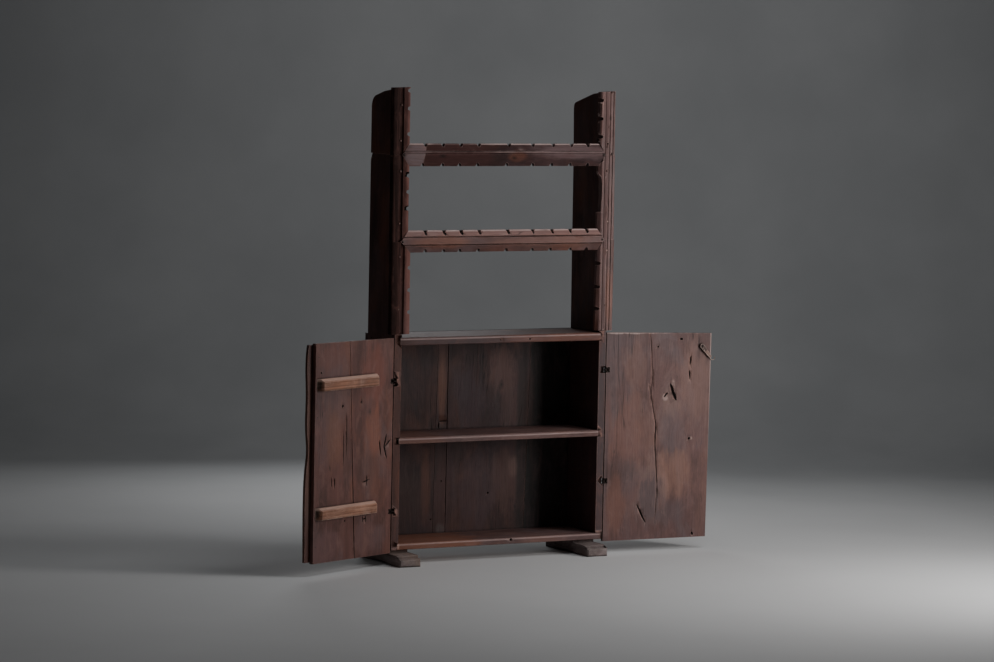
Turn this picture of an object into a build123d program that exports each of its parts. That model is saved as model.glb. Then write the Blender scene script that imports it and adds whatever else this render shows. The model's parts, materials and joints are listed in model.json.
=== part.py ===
"""Trastero: a plank-built cupboard with two doors below and an open hutch of notched mouldings above.

Millimetres, +Z up. +X is to the right as one faces the doors, and the doors face -Y.
Both doors are drawn where they stand open.
Sketches are laid out from the middle line of the case, with y = 0 where the face frame of the
hutch meets its side boards. Each finished piece is then moved, so that the origin is on the
floor at the middle of the ground that the open piece covers.
"""
import os

from build123d import *

os.makedirs("parts", exist_ok=True)

# ---------------------------------------------------------------- driving dimensions
# Case
case_width = 1000                 # over the two side boards
side_thick = 33
side_depth = 242
frame_thick = 30                  # mouldings of the hutch, front to back
back_thick = 22
housing = 6                       # depth of the grooves that hold the boards
bottom_under, bottom_top = 58, 85
shelf_under, shelf_top = 494, 521
top_under, top_top = 899, 932
shoulders = {"left": 945, "right": 940}   # where the side boards step back behind the mouldings
# Hutch
side_joint_z = 1676.5             # each side is a tall board with a short one stood on it
stile_tops = {"left": (1952, 1950), "right": (1939, 1943)}   # inner and outer corner
rail_tip = 480                    # the rails end in points that reach into the stiles
upper_rail = (1630, 1723)         # low and high edge
lower_rail = (1278, 1368)
# Doors
door_thick_left, door_thick_right = 18, 17
door_gap = 2                      # between a shut door and the case
left_open, right_open = 155.75, 176.25   # degrees from shut, as the doors stand
# Runners
runner_front, runner_back = -130, 226
runner_low = 46                   # height of the end that passes under the doors
runner_step = -8                  # where it rises to bear the case, clear of the turning doors
# Iron
eye_radius, eye_wire = 8, 2       # the linked eyes of the hinges
eye_sides, eye_flat = 12, 1.2      # hammered on a peg, so they are rings of short flats
eye_slack = 0.6
hinge_heights = {"left": (755, 220), "right": (774, 304)}
nail_shank, nail_head, nail_rise = 3.6, 9, 2.2
nail_head_taper = 50
# Plan
ground_middle = (8, -4.4)         # of the ground covered with both doors open

# ---------------------------------------------------------------- places that follow
front_y = -frame_thick
back_y = front_y + side_depth
outer_x = case_width / 2
inner_x = outer_x - side_thick
pivot_x = outer_x + door_gap
pivot_y = front_y - door_gap / 2
sides = {"left": -1, "right": 1}


def finish(builder, name):
    """Name a piece, move it to the origin that all pieces share, and write it."""
    builder.part.label = name
    builder.part.locate(Location((-ground_middle[0], -ground_middle[1], 0)))
    export_step(builder.part, f"parts/{name}.step")


def at_y(y):
    """Upright plane facing the front, at depth y: sketch in (x, z), extrude towards -Y."""
    return Plane.XZ.offset(-y)


def square_spots(plane, spots, size):
    """Squares of one size on a plane, for nails and their holes."""
    with BuildSketch(plane) as marks:
        with Locations(*spots):
            Rectangle(size, size)
    return marks.sketch


def nails(name, groups):
    """Hand-forged nails: square shanks, heads hammered to low pyramids.

    groups is a list of (plane, spots, length); each plane lies on the wood and faces out.
    """
    with BuildPart() as group:
        for plane, spots, length in groups:
            extrude(square_spots(plane, spots, nail_shank), amount=-length)
            extrude(square_spots(plane, spots, nail_head), amount=nail_rise, taper=nail_head_taper)
    finish(group, name)


# ---------------------------------------------------------------- where the nails go
board_levels = {
    "top": (top_under + top_top) / 2,
    "shelf": (shelf_under + shelf_top) / 2,
    "bottom": (bottom_under + bottom_top) / 2,
}
nail_depths = (5, 92, 178)        # front to back, through the sides into the boards
back_nail_xs = (-470, -205, -147, -88, 236, 304, 470)
bite = 20                         # how far a nail goes into the board behind
side_nails = {
    "left": [(y, z) for z in board_levels.values() for y in nail_depths],
    "right": [(y, board_levels[level]) for level in ("top", "shelf") for y in nail_depths],
}


def outer_face(side):
    """Plane on the outer face of a side board, facing away from the case, local (y, z)."""
    return Plane((sides[side] * outer_x, 0, 0), x_dir=(0, sides[side], 0), z_dir=(sides[side], 0, 0))


def on_outer_face(side, spots):
    """The (y, z) spots in the local coordinates of outer_face."""
    return [(sides[side] * y, z) for y, z in spots]


# ---------------------------------------------------------------- hinges
eye_inset = eye_radius - 2 * eye_wire - eye_slack    # pivot to centre of the fixed eye
notch_fixed, notch_door, notch_height = 14.2, 18.5, 22
tail_length = 26
tail_section = (5, 4)             # high and wide
door_tail_angle = 15              # degrees into the door's thickness


def case_eye_plane(side, z):
    """Level plane at the pivot, its x along the fixed eye's tail, 45 degrees into the board."""
    return Plane((sides[side] * pivot_x, pivot_y, z), x_dir=(-sides[side], 1, 0), z_dir=(0, 0, 1))


def turn(vector, degrees):
    """A level direction turned about +Z."""
    return Vector(*vector, 0).rotate(Axis.Z, degrees)


def door_turn(side):
    """Degrees about +Z from the shut door to the standing one."""
    return {"left": -left_open, "right": right_open}[side]


def door_plane(side):
    """Upright plane through the pivot: x runs along the door from its hinge edge, y is up.

    Its normal points out of the door's outer face on the left and its inner face on the right.
    """
    along = turn((-sides[side], 0), door_turn(side))
    return Plane((sides[side] * pivot_x, pivot_y, 0), x_dir=along, z_dir=along.cross(Vector(0, 0, 1)))


def outward(side):
    """Sign of the door plane's normal that points out of the door's outer face."""
    return -sides[side]


def door_eye_plane(side, z):
    """Level plane at the pivot, its x along the moving eye's tail, slanting into the door."""
    tail = turn((-sides[side], 0), door_turn(side) + door_tail_angle * sides[side])
    return Plane((sides[side] * pivot_x, pivot_y, z), x_dir=tail, z_dir=(0, 0, 1))


def tail_sketch(plane, start):
    """Cross-section of an eye's two legs laid together, across the plane's x at start."""
    across = Plane(plane.from_local_coords((start, 0, 0)), x_dir=plane.y_dir, z_dir=plane.x_dir)
    with BuildSketch(across) as section:
        Rectangle(tail_section[1], tail_section[0])
    return section.sketch


def notch_sketch(side, z, radius):
    """Circle round the pivot, at the low end of a hinge's notch."""
    with BuildSketch(Plane((sides[side] * pivot_x, pivot_y, z - notch_height / 2))) as round_pivot:
        Circle(radius)
    return round_pivot.sketch


case_tail_start = eye_inset + eye_radius
door_tail_start = 2 * eye_radius


def eye_ring(plane):
    """A wire eye that lies in the plane, round its origin."""
    with BuildPart() as ring:
        with BuildSketch(plane):
            RegularPolygon(eye_radius + eye_wire, eye_sides)
            RegularPolygon(eye_radius - eye_wire, eye_sides, major_radius=False, mode=Mode.SUBTRACT)
        extrude(amount=eye_wire, both=True)
        chamfer(ring.faces().filter_by(Axis(plane.origin, plane.z_dir)).edges(), eye_flat)
    return ring.part


for side in sides:
    # The fixed eyes lie level.
    with BuildPart() as case_eyes:
        for z in hinge_heights[side]:
            fixed = case_eye_plane(side, z)
            add(eye_ring(Plane(fixed.from_local_coords((eye_inset, 0, 0)), x_dir=fixed.x_dir)))
            extrude(tail_sketch(fixed, case_tail_start), amount=tail_length)
    finish(case_eyes, f"{side}_hinge_case_eyes")

    # The door's eyes stand upright through them.
    with BuildPart() as door_eyes:
        for z in hinge_heights[side]:
            moving = door_eye_plane(side, z)
            centre = moving.from_local_coords((eye_radius, 0, 0))
            add(eye_ring(Plane(centre, x_dir=moving.x_dir, z_dir=moving.y_dir)))
            extrude(tail_sketch(moving, door_tail_start), amount=tail_length)
    finish(door_eyes, f"{side}_hinge_door_eyes")

# ---------------------------------------------------------------- mouldings of the hutch
upper_mid = sum(upper_rail) / 2
lower_mid = sum(lower_rail) / 2
# Each stile is three lengths of moulding, sawn and planed one by one.
# Inner and outer edge of each length, from the middle line, at its low end and at its high end.
stile_edges = {
    "left": {
        "top": ((441, 521), (441, 522)),
        "middle": ((441, 519), (441, 520)),
        "bottom": ((427, 518), (430, 518)),
    },
    "right": {
        "top": ((453, 522), (453, 520)),
        "middle": ((452, 526), (452, 524)),
        "bottom": ((452, 527), (456, 529)),
    },
}
stile_levels = {
    "top": (upper_mid, max(stile_tops["left"])),
    "middle": (lower_mid, upper_mid),
    "bottom": (min(shoulders.values()), lower_mid),
}
# Sections from the inner edge, as (distance from it, depth behind the front): the left stile has
# a broad bevel and one groove, the right one a bevel, steep but for its top length, and three.
right_grooves = [(17, 3), (20, 5), (24, 5), (27, 2), (38, 0), (41, 3), (44, 3), (47, 0), (55, 0),
                 (57, 3), (60, 3), (62, 0)]
left_section = [(0, frame_thick), (0, 12), (32, 3), (35, 9), (47, 9), (52, 1), (60, 0)]
right_section = [(0, frame_thick), (0, 16), (12, 4)] + right_grooves
stile_sections = {
    "left": {"top": left_section, "middle": left_section, "bottom": left_section},
    "right": {
        "top": [(0, frame_thick), (0, 9), (6, 3), (14, 2)] + right_grooves,
        "middle": right_section,
        "bottom": right_section,
    },
}
arris_drop = 2                    # of the outer front arris, worn down
notch_depth = 12
peg_radius = 4
peg_bite = 18
peg_proud = 1.5
# (distance from the middle line, z) of the pegs.
stile_pegs = {
    "left": {
        "top": [(486, 1880), (488, 1735)],
        "middle": [(486, 1610), (488, 1398)],
        "bottom": [(484, 1262), (486, 1048)],
    },
    "right": {
        "top": [(493, 1794), (488, 1712)],
        "middle": [(488, 1610), (493, 1398)],
        "bottom": [(493, 1277), (490, 1048)],
    },
}
stile_notches = {
    "left": {"top": (1938, 1865, 1761), "middle": (1592, 1526, 1458), "bottom": (1216, 1125, 1035)},
    "right": {"top": (1905, 1828, 1753), "middle": (), "bottom": (1223, 1124, 1032)},
}
# The right stile has lost part of its bevel: (distance from the inner edge, z) of the break.
broken_edge = [(-1, 1603), (10, 1584), (15, 1560), (14, 1495), (11, 1464), (12, 1440), (-1, 1434)]


def edge_notch(x, z, direction, long=10, short=5):
    """A gouged notch in an edge at (x, z), cut along direction, as a closed outline."""
    along = Vector(-direction[1], direction[0])
    inward = Vector(*direction)
    base = Vector(x, z)
    corners = [(-long, -1), (-short, notch_depth), (short * 0.7, notch_depth + 0.8), (long, -1)]
    return [tuple(base + along * a + inward * d)[:2] for a, d in corners]


def sawn_notch(x, z, direction):
    """A three-cornered notch in an edge at (x, z)."""
    return edge_notch(x, z, direction, long=11, short=2)


def peg_sketch(plane, spots, radius):
    """Whittled eight-sided pegs."""
    with BuildSketch(plane) as section:
        with Locations(*spots):
            RegularPolygon(radius, 8)
    return section.sketch


def peg_spots(side):
    """Every peg of one stile, as (x, z)."""
    return [(sides[side] * x, z) for pegs in stile_pegs[side].values() for x, z in pegs]


def edge_at(side, length, z, which):
    """Distance from the middle line of a stile's inner (0) or outer (1) edge at height z."""
    low, high = stile_levels[length]
    share = (z - low) / (high - low)
    ends = stile_edges[side][length]
    return ends[0][which] + (ends[1][which] - ends[0][which]) * share


def mitre(side, length, z):
    """Corner at (x, z) where a rail's edge meets the inner edge of a stile length."""
    return (sides[side] * edge_at(side, length, z, 0), z)


def stile_outline(side, length):
    """Outline of a stile length, as (x, z): the rails' points are let into it."""
    s = sides[side]
    low, high = stile_levels[length]
    if length == "bottom":
        low = shoulders[side]
    inner_low, outer_low = edge_at(side, length, low, 0), edge_at(side, length, low, 1)
    inner_high, outer_high = edge_at(side, length, high, 0), edge_at(side, length, high, 1)
    if length == "bottom":
        foot = [(s * inner_low, low), (s * outer_low, low)]
    else:
        rail = {"top": upper_rail, "middle": lower_rail}[length]
        foot = [mitre(side, length, rail[1]), (s * rail_tip, low), (s * outer_low, low)]
    if length == "top":
        inner_top, outer_top = stile_tops[side]
        head = [(s * outer_high, outer_top), (s * inner_high, inner_top)]
    else:
        rail = {"middle": upper_rail, "bottom": lower_rail}[length]
        head = [(s * outer_high, high), (s * rail_tip, high), mitre(side, length, rail[0])]
    return foot + head


for side, s in sides.items():
    for length, (low, high) in stile_levels.items():
        inner = min(edges[0] for edges in stile_edges[side][length])
        outer = max(edges[1] for edges in stile_edges[side][length])
        section = stile_sections[side][length] + [
            (outer - inner - 2 * arris_drop, 0), (outer - inner, arris_drop), (outer - inner, frame_thick),
        ]
        with BuildPart() as stile:
            with BuildSketch(Plane.XY.offset(low)):
                Polygon(*[(s * (inner + w), front_y + y) for w, y in section], align=None)
            extrude(amount=high - low)
            with BuildSketch(at_y(0)):
                Polygon(*stile_outline(side, length), align=None)
                for z in stile_notches[side][length]:
                    edge_x = s * edge_at(side, length, z, 0)
                    Polygon(*edge_notch(edge_x, z, (s, 0)), align=None, mode=Mode.SUBTRACT)
                if (side, length) == ("right", "middle"):
                    Polygon(*[(inner + w, z) for w, z in broken_edge], align=None, mode=Mode.SUBTRACT)
            extrude(amount=frame_thick, mode=Mode.INTERSECT)
            pegs = [(s * x, z) for x, z in stile_pegs[side][length]]
            extrude(peg_sketch(at_y(0), pegs, peg_radius), amount=frame_thick, mode=Mode.SUBTRACT)
        finish(stile, f"{side}_stile_{length}")

    with BuildPart() as pegs:
        extrude(peg_sketch(at_y(peg_bite), peg_spots(side), peg_radius),
                amount=peg_bite + frame_thick + peg_proud)
    finish(pegs, f"{side}_stile_pegs")

# Sections of the rails, as (depth behind the front, z).
low, high = upper_rail
upper_section = [
    (frame_thick, low), (frame_thick, high), (13, high), (10, high - 3), (3, high - 29), (5, high - 31),
    (0, high - 33), (0, high - 36), (4, high - 39), (2, high - 43), (11, low + 3), (14, low),
]
low, high = lower_rail
lower_section = [
    (frame_thick, low), (frame_thick, high), (13, high), (10, high - 3), (2, high - 24), (6, high - 27),
    (0, high - 31), (0, high - 56), (5, high - 59), (2, high - 62), (11, low + 3), (14, low),
]
# Middles of the notches along each edge, spaced by eye.
upper_notches = {
    "high": (-369, -287, -204, -121, 21, 134, 231, 319, 398),
    "low": (-380, -289, -210, -126, 12, 134, 224, 313, 397),
}
lower_notches = {
    "high": (-362, -276, -196, -111, 23, 141, 233, 320, 400),
    "low": (-362, -277, -202, -115, 16, 140, 226, 322, 400),
}
rail_nail_x = 471
past_edge = 1
splice_line = [(-364, upper_rail[1] + past_edge), (-374, upper_mid), (-380, upper_rail[0] - past_edge)]


def rail_blank(section, edges, stile_above, stile_below):
    """Draw the section from tip to tip in the part being built, then point both ends."""
    with BuildSketch(Plane.YZ.offset(-rail_tip)) as profile:
        Polygon(*[(front_y + y, z) for y, z in section], align=None)
    extrude(profile.sketch, amount=2 * rail_tip)
    low, high = edges
    middle = (low + high) / 2
    with BuildSketch(at_y(0)) as pointed:
        Polygon(
            mitre("left", stile_above, high), (-rail_tip, middle), mitre("left", stile_below, low),
            mitre("right", stile_below, low), (rail_tip, middle), mitre("right", stile_above, high),
            align=None,
        )
    extrude(pointed.sketch, amount=frame_thick, mode=Mode.INTERSECT)


def rail_notches(high_shape, notches, edges):
    """Outlines of a rail's two rows of notches, joined in one sketch."""
    low, high = edges
    with BuildSketch(at_y(0)) as rows:
        for x in notches["high"]:
            Polygon(*high_shape(x, high, (0, -1)), align=None)
        for x in notches["low"]:
            Polygon(*edge_notch(x, low, (0, 1)), align=None)
    return rows.sketch


def upper_rail_blank():
    """The whole upper rail, as if in one length, with its notches and nail holes."""
    rail_blank(upper_section, upper_rail, "top", "middle")
    extrude(rail_notches(edge_notch, upper_notches, upper_rail), amount=frame_thick, mode=Mode.SUBTRACT)
    extrude(square_spots(at_y(0), rail_ends, nail_shank), amount=frame_thick, mode=Mode.SUBTRACT)


with BuildSketch(at_y(0)) as splice_area:
    Polygon(*splice_line, (-rail_tip, upper_rail[0] - past_edge), (-rail_tip, upper_rail[1] + past_edge),
            align=None)

rail_ends = [(-rail_nail_x, upper_mid), (rail_nail_x, upper_mid)]
with BuildPart() as upper:
    upper_rail_blank()
    extrude(splice_area.sketch, amount=frame_thick, mode=Mode.SUBTRACT)
finish(upper, "upper_rail")

with BuildPart() as splice:
    upper_rail_blank()
    extrude(splice_area.sketch, amount=frame_thick, mode=Mode.INTERSECT)
finish(splice, "upper_rail_splice")

lower_ends = [(-rail_nail_x, lower_mid), (rail_nail_x, lower_mid)]
with BuildPart() as lower:
    rail_blank(lower_section, lower_rail, "middle", "bottom")
    extrude(rail_notches(sawn_notch, lower_notches, lower_rail), amount=frame_thick, mode=Mode.SUBTRACT)
    extrude(square_spots(at_y(0), lower_ends, nail_shank), amount=frame_thick, mode=Mode.SUBTRACT)
finish(lower, "lower_rail")

rail_nail_front = Plane.XZ.offset(-front_y)
nails("rail_nails", [(rail_nail_front, rail_ends + lower_ends, frame_thick + bite)])

# ---------------------------------------------------------------- side boards
dowel_depths = (60, 150)
dowel_radius, dowel_reach = 6, 30
dowel_ease = 0.2
worn_corner = 14                  # knocked off the back of each tall board, at the joint
# The boards are cut to a slope at the top, and the right one widens towards it: (y, z).
joint_backs = {"left": back_y, "right": 220}
top_slopes = {
    "left": [(0, 1946), (104, 1932), (175, 1914)],
    "right": [(0, 1937), (64, 1930), (204, 1892)],
}
top_rounds = {
    "left": [(201, 1897), (back_y, 1862)],
    "right": [(220, 1883), (226, 1866)],
}

for side, s in sides.items():
    left_face = min(s * inner_x, s * outer_x)
    foot = {"left": bottom_under, "right": bottom_top}[side]
    with BuildPart() as board:
        with BuildSketch(Plane.YZ.offset(left_face)):
            Polygon(
                (front_y, foot), (back_y, foot), (back_y, top_top),
                (joint_backs[side], side_joint_z - 2 * worn_corner),
                (joint_backs[side] - worn_corner, side_joint_z), (0, side_joint_z),
                (0, shoulders[side]), (front_y, shoulders[side]), align=None,
            )
        extrude(amount=side_thick)
        # Housings for the boards, cut in the inner face.
        levels = [(top_under, top_top), (shelf_under, shelf_top)]
        if side == "left":
            levels.append((bottom_under, bottom_top))
        for under, over in levels:
            with BuildSketch(Plane.YZ.offset(min(s * inner_x, s * (inner_x + housing)))):
                with Locations(((front_y + back_y) / 2, (under + over) / 2)):
                    Rectangle(side_depth, over - under)
            extrude(amount=housing, mode=Mode.SUBTRACT)
        for z in hinge_heights[side]:
            extrude(notch_sketch(side, z, notch_fixed), amount=notch_height, mode=Mode.SUBTRACT)
            extrude(tail_sketch(case_eye_plane(side, z), case_tail_start), amount=tail_length,
                    mode=Mode.SUBTRACT)
        spots = on_outer_face(side, side_nails[side])
        extrude(square_spots(outer_face(side), spots, nail_shank), amount=-side_thick, mode=Mode.SUBTRACT)
        low_pegs = [spot for spot in peg_spots(side) if spot[1] < side_joint_z]
        extrude(peg_sketch(at_y(peg_bite), low_pegs, peg_radius), amount=peg_bite, mode=Mode.SUBTRACT)
        extrude(square_spots(at_y(bite), rail_ends + lower_ends, nail_shank), amount=bite,
                mode=Mode.SUBTRACT)
        with Locations(*[(s * (inner_x + outer_x) / 2, y, side_joint_z) for y in dowel_depths]):
            Hole(dowel_radius, dowel_reach)
    finish(board, f"{side}_side")

    with BuildPart() as short_board:
        with BuildSketch(Plane.YZ.offset(left_face)):
            with BuildLine():
                Polyline(top_rounds[side][-1], (joint_backs[side], side_joint_z), (0, side_joint_z),
                         *top_slopes[side])
                ThreePointArc(top_slopes[side][-1], *top_rounds[side])
            make_face()
        extrude(amount=side_thick)
        high_pegs = [spot for spot in peg_spots(side) if spot[1] > side_joint_z]
        extrude(peg_sketch(at_y(peg_bite), high_pegs, peg_radius), amount=peg_bite, mode=Mode.SUBTRACT)
        extrude(square_spots(at_y(bite), rail_ends, nail_shank), amount=bite, mode=Mode.SUBTRACT)
        with BuildSketch(Plane.XY.offset(side_joint_z)):
            with Locations(*[(s * (inner_x + outer_x) / 2, y) for y in dowel_depths]):
                Circle(dowel_radius)
        extrude(amount=dowel_reach, mode=Mode.SUBTRACT)
    finish(short_board, f"{side}_side_top")

    with BuildPart() as dowels:
        with BuildSketch(Plane.XY.offset(side_joint_z - dowel_reach)):
            with Locations(*[(s * (inner_x + outer_x) / 2, y) for y in dowel_depths]):
                Circle(dowel_radius - dowel_ease)
        extrude(amount=2 * dowel_reach)
    finish(dowels, f"{side}_side_dowels")

    spots = on_outer_face(side, side_nails[side])
    nails(f"{side}_side_nails", [(outer_face(side), spots, side_thick - housing + bite)])

# ---------------------------------------------------------------- boards of the case
back_face = Plane((0, back_y + back_thick, 0), x_dir=(-1, 0, 0), z_dir=(0, 1, 0))
worn_arris = 3


def board_builder(name, left_end, right_end, under, over, floor_nails=()):
    """A board between the sides, with its front arrises worn and its nail holes."""
    mid_z = (under + over) / 2
    with BuildPart() as board:
        with BuildSketch(Plane.XY.offset(under)):
            with Locations(((left_end + right_end) / 2, (front_y + back_y) / 2)):
                Rectangle(right_end - left_end, side_depth)
        extrude(amount=over - under)
        chamfer(board.edges().filter_by(Axis.X).group_by(Axis.Y)[0], worn_arris)
        for side, s in sides.items():
            end_x = right_end if s > 0 else -left_end
            if end_x < outer_x:
                spots = on_outer_face(side, [(y, mid_z) for y in nail_depths])
                extrude(square_spots(outer_face(side), spots, nail_shank),
                        amount=-(side_thick - housing + bite), mode=Mode.SUBTRACT)
        back_holes = square_spots(at_y(back_y), [(x, mid_z) for x in back_nail_xs], nail_shank)
        extrude(back_holes, amount=bite, mode=Mode.SUBTRACT)
        if floor_nails:
            extrude(square_spots(Plane.XY.offset(over), floor_nails, nail_shank),
                    amount=under - over, mode=Mode.SUBTRACT)
    finish(board, name)


runner_nails = [(-455, 15), (-455, 170), (430, 15), (430, 170)]
housed = inner_x + housing
board_builder("top_board", -housed, housed, top_under, top_top)
board_builder("shelf", -housed, housed, shelf_under, shelf_top)
board_builder("bottom_board", -housed, outer_x, bottom_under, bottom_top, runner_nails)

# Back planks, as (name, low left, low right, high left, high right). They are fitted by hand,
# so none is quite parallel.
back_planks = [
    ("back_plank_wide_left", -outer_x, -182, -outer_x, -167),
    ("back_plank_strip", -181, -123, -166, -121),
    ("back_plank_middle", -120, 253, -118, 277),
    ("back_plank_right", 254, outer_x, 278, outer_x),
]
for name, low_left, low_right, high_left, high_right in back_planks:
    with BuildPart() as plank:
        with BuildSketch(at_y(back_y + back_thick)):
            Polygon((low_left, bottom_under), (low_right, bottom_under),
                    (high_right, top_top), (high_left, top_top), align=None)
        extrude(amount=back_thick)
        holes = [(x, z) for z in board_levels.values() for x in back_nail_xs]
        extrude(square_spots(at_y(back_y + back_thick), holes, nail_shank), amount=back_thick,
                mode=Mode.SUBTRACT)
    finish(plank, name)

back_spots = [(-x, z) for z in board_levels.values() for x in back_nail_xs]
nails("back_nails", [(back_face, back_spots, back_thick + bite)])

# ---------------------------------------------------------------- runners
# (left edge, right edge) of each; the right one sits further in.
runner_edges = {"left": (-510, -412), "right": (375, 473)}
pad = 70                          # length of each end that bears on the floor
relief = 8                        # height of the hollow between the pads
nose_top, nose_ledge = 34, 27     # each front end is cut down to a ledge
nose_wear, nose_chamfer = 6, 6

for side, (left_edge, right_edge) in runner_edges.items():
    with BuildPart() as runner:
        with BuildSketch(Plane.YZ.offset(left_edge)):
            with BuildLine():
                Polyline((runner_front + pad, 0), (runner_front + nose_wear / 2, 0),
                         (runner_front, nose_wear), (runner_front, nose_top - nose_wear),
                         (runner_front + nose_wear, nose_top), (runner_front + nose_ledge, nose_top),
                         (runner_front + nose_ledge + 1, runner_low - nose_wear / 2),
                         (runner_front + nose_ledge + nose_wear, runner_low), (runner_step, runner_low),
                         (runner_step, bottom_under), (runner_back, bottom_under),
                         (runner_back, 0), (runner_back - pad, 0))
                ThreePointArc((runner_back - pad, 0), ((runner_front + runner_back) / 2, relief),
                              (runner_front + pad, 0))
            make_face()
        extrude(amount=right_edge - left_edge)
        chamfer(runner.edges().filter_by(Axis.Z).group_by(Axis.Y)[0], nose_chamfer)
        own = [spot for spot in runner_nails if left_edge < spot[0] < right_edge]
        extrude(square_spots(Plane.XY.offset(bottom_under), own, nail_shank), amount=-bite,
                mode=Mode.SUBTRACT)
    finish(runner, f"{side}_runner")

nails("runner_nails", [(Plane.XY.offset(bottom_top), runner_nails, bottom_top - bottom_under + bite)])

# ---------------------------------------------------------------- left door
# Door outlines are in (distance from the pivot, z), on the door's own upright plane.
hinge_edge = door_gap
left = door_plane("left")
left_inner = left.offset(outward("left") * door_gap / 2)
left_outer = left_inner.offset(outward("left") * door_thick_left)
left_free_edge = 499
left_joint_low, left_joint_high = (233, 50), (283, 933.5)
joint_gap = 1
left_planks = {
    "left_door_plank_hinge": [
        (hinge_edge, 48), left_joint_low, left_joint_high, (hinge_edge, 931),
    ],
    "left_door_plank_free": [
        (left_joint_low[0] + joint_gap, left_joint_low[1]), (left_free_edge, 52), (left_free_edge, 936),
        (left_joint_high[0] + joint_gap, left_joint_high[1]),
    ],
}
batten_start, batten_end, batten_thick = 122, 491, 24
batten_heights = {"upper": (745, 794), "lower": (228, 276)}
batten_bevel, batten_end_bevel = 12, 21
batten_nail_xs = (150, 212, 320, 450)
batten_nail_drop = 5              # below the middle, clear of the bevel
batten_bite = 16
strip_inner, strip_lean, strip_thick = 462, 3, 12
strip_low, strip_high = 58, 930
# The strip's free edge, hewn by eye: (distance from the pivot, z) from the top down.
strip_wave = [(521, 930), (528, 880), (524, 720), (525, 590), (517, 500), (526, 430), (531, 370),
              (532, 220), (529, 58)]
strip_nails = [(480, 880), (481, 640), (483, 400), (482, 120)]
batten_spots = {
    place: [(x, sum(heights) / 2 - batten_nail_drop) for x in batten_nail_xs]
    for place, heights in batten_heights.items()
}
door_spots = batten_spots["upper"] + batten_spots["lower"]

for name, outline in left_planks.items():
    with BuildPart() as plank:
        with BuildSketch(left_inner):
            Polygon(*outline, align=None)
        extrude(amount=door_thick_left)
        for z in hinge_heights["left"]:
            extrude(notch_sketch("left", z, notch_door), amount=notch_height, mode=Mode.SUBTRACT)
            extrude(tail_sketch(door_eye_plane("left", z), door_tail_start), amount=tail_length,
                    mode=Mode.SUBTRACT)
        extrude(square_spots(left_inner, door_spots + strip_nails, nail_shank),
                amount=door_thick_left, mode=Mode.SUBTRACT)
    finish(plank, name)

for place, (low, high) in batten_heights.items():
    # Drawn in plan, where local y runs into the cupboard from the pivot.
    plan = Plane((left.origin.X, left.origin.Y, low), x_dir=left.x_dir, z_dir=(0, 0, 1))
    seat = -door_gap / 2
    with BuildPart() as batten:
        with BuildSketch(plan):
            Polygon((batten_start, seat), (batten_end, seat),
                    (batten_end - batten_end_bevel, seat + batten_thick),
                    (batten_start, seat + batten_thick), align=None)
        extrude(amount=high - low)
        top_edges = batten.edges().filter_by(Axis((0, 0, 0), left.x_dir))
        chamfer(top_edges.group_by(Axis.Z)[-1].sort_by(Axis((0, 0, 0), plan.y_dir))[-1], batten_bevel)
        extrude(square_spots(left_inner, batten_spots[place], nail_shank), amount=-batten_bite,
                mode=Mode.SUBTRACT)
    finish(batten, f"left_door_{place}_batten")

nails("left_door_batten_nails", [(left_outer, door_spots, door_thick_left + batten_bite)])

with BuildPart() as strip:
    with BuildSketch(left_outer):
        with BuildLine():
            Spline(*strip_wave)
            Polyline(strip_wave[-1], (strip_inner, strip_low), (strip_inner + strip_lean, strip_high),
                     strip_wave[0])
        make_face()
    extrude(amount=strip_thick)
    extrude(square_spots(left_outer, strip_nails, nail_shank), amount=strip_thick, mode=Mode.SUBTRACT)
finish(strip, "left_door_overlap_strip")
nails("left_door_strip_nails",
      [(left_outer.offset(strip_thick), strip_nails, strip_thick + door_thick_left)])

# ---------------------------------------------------------------- right door
right = door_plane("right")
right_inner = right.offset(outward("right") * door_gap / 2)
right_outline = [(hinge_edge, 48), (492, 50), (500, 921), (hinge_edge, 931)]
button_pivot = (452, 867)
button_angle = -49                # from level, hanging towards the free edge
button_thick, button_gap = 11, 0.5
button_reach = 58                 # pivot to the centre of the rounded tip
button_wide, button_narrow = 10, 6
pin_radius, pin_clearance = 2.5, 0.08
pin_bite = 12
pin_head_radius, pin_head_taper = 5, 35
hook_wire = 1.6
hook_sides = 6
hook_straight = 8                 # bare stem, before the curl
curl_radius, curl_angle = 9.9, 156
hook_drop = -3                    # the hook's stem lies below the button's middle line

with BuildPart() as plank:
    with BuildSketch(right_inner):
        Polygon(*right_outline, align=None)
    extrude(amount=outward("right") * door_thick_right)
    for z in hinge_heights["right"]:
        extrude(notch_sketch("right", z, notch_door), amount=notch_height, mode=Mode.SUBTRACT)
        extrude(tail_sketch(door_eye_plane("right", z), door_tail_start), amount=tail_length,
                mode=Mode.SUBTRACT)
    with BuildSketch(right_inner):
        with Locations(button_pivot):
            Circle(pin_radius)
    extrude(amount=outward("right") * pin_bite, mode=Mode.SUBTRACT)
finish(plank, "right_door_plank")

# ---------------------------------------------------------------- turn button
button_seat = Plane(
    right_inner.from_local_coords((*button_pivot, 0)),
    x_dir=right.x_dir.rotate(Axis((0, 0, 0), right.z_dir), button_angle),
    z_dir=right.z_dir,
)
with BuildPart() as pin:
    with BuildSketch(button_seat.offset(-pin_bite)):
        Circle(pin_radius)
    extrude(amount=pin_bite + button_gap * 2 + button_thick)
    with BuildSketch(button_seat.offset(button_gap * 2 + button_thick)):
        Circle(pin_head_radius)
    extrude(amount=pin_radius, taper=pin_head_taper)
finish(pin, "turn_button_pin")

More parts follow.
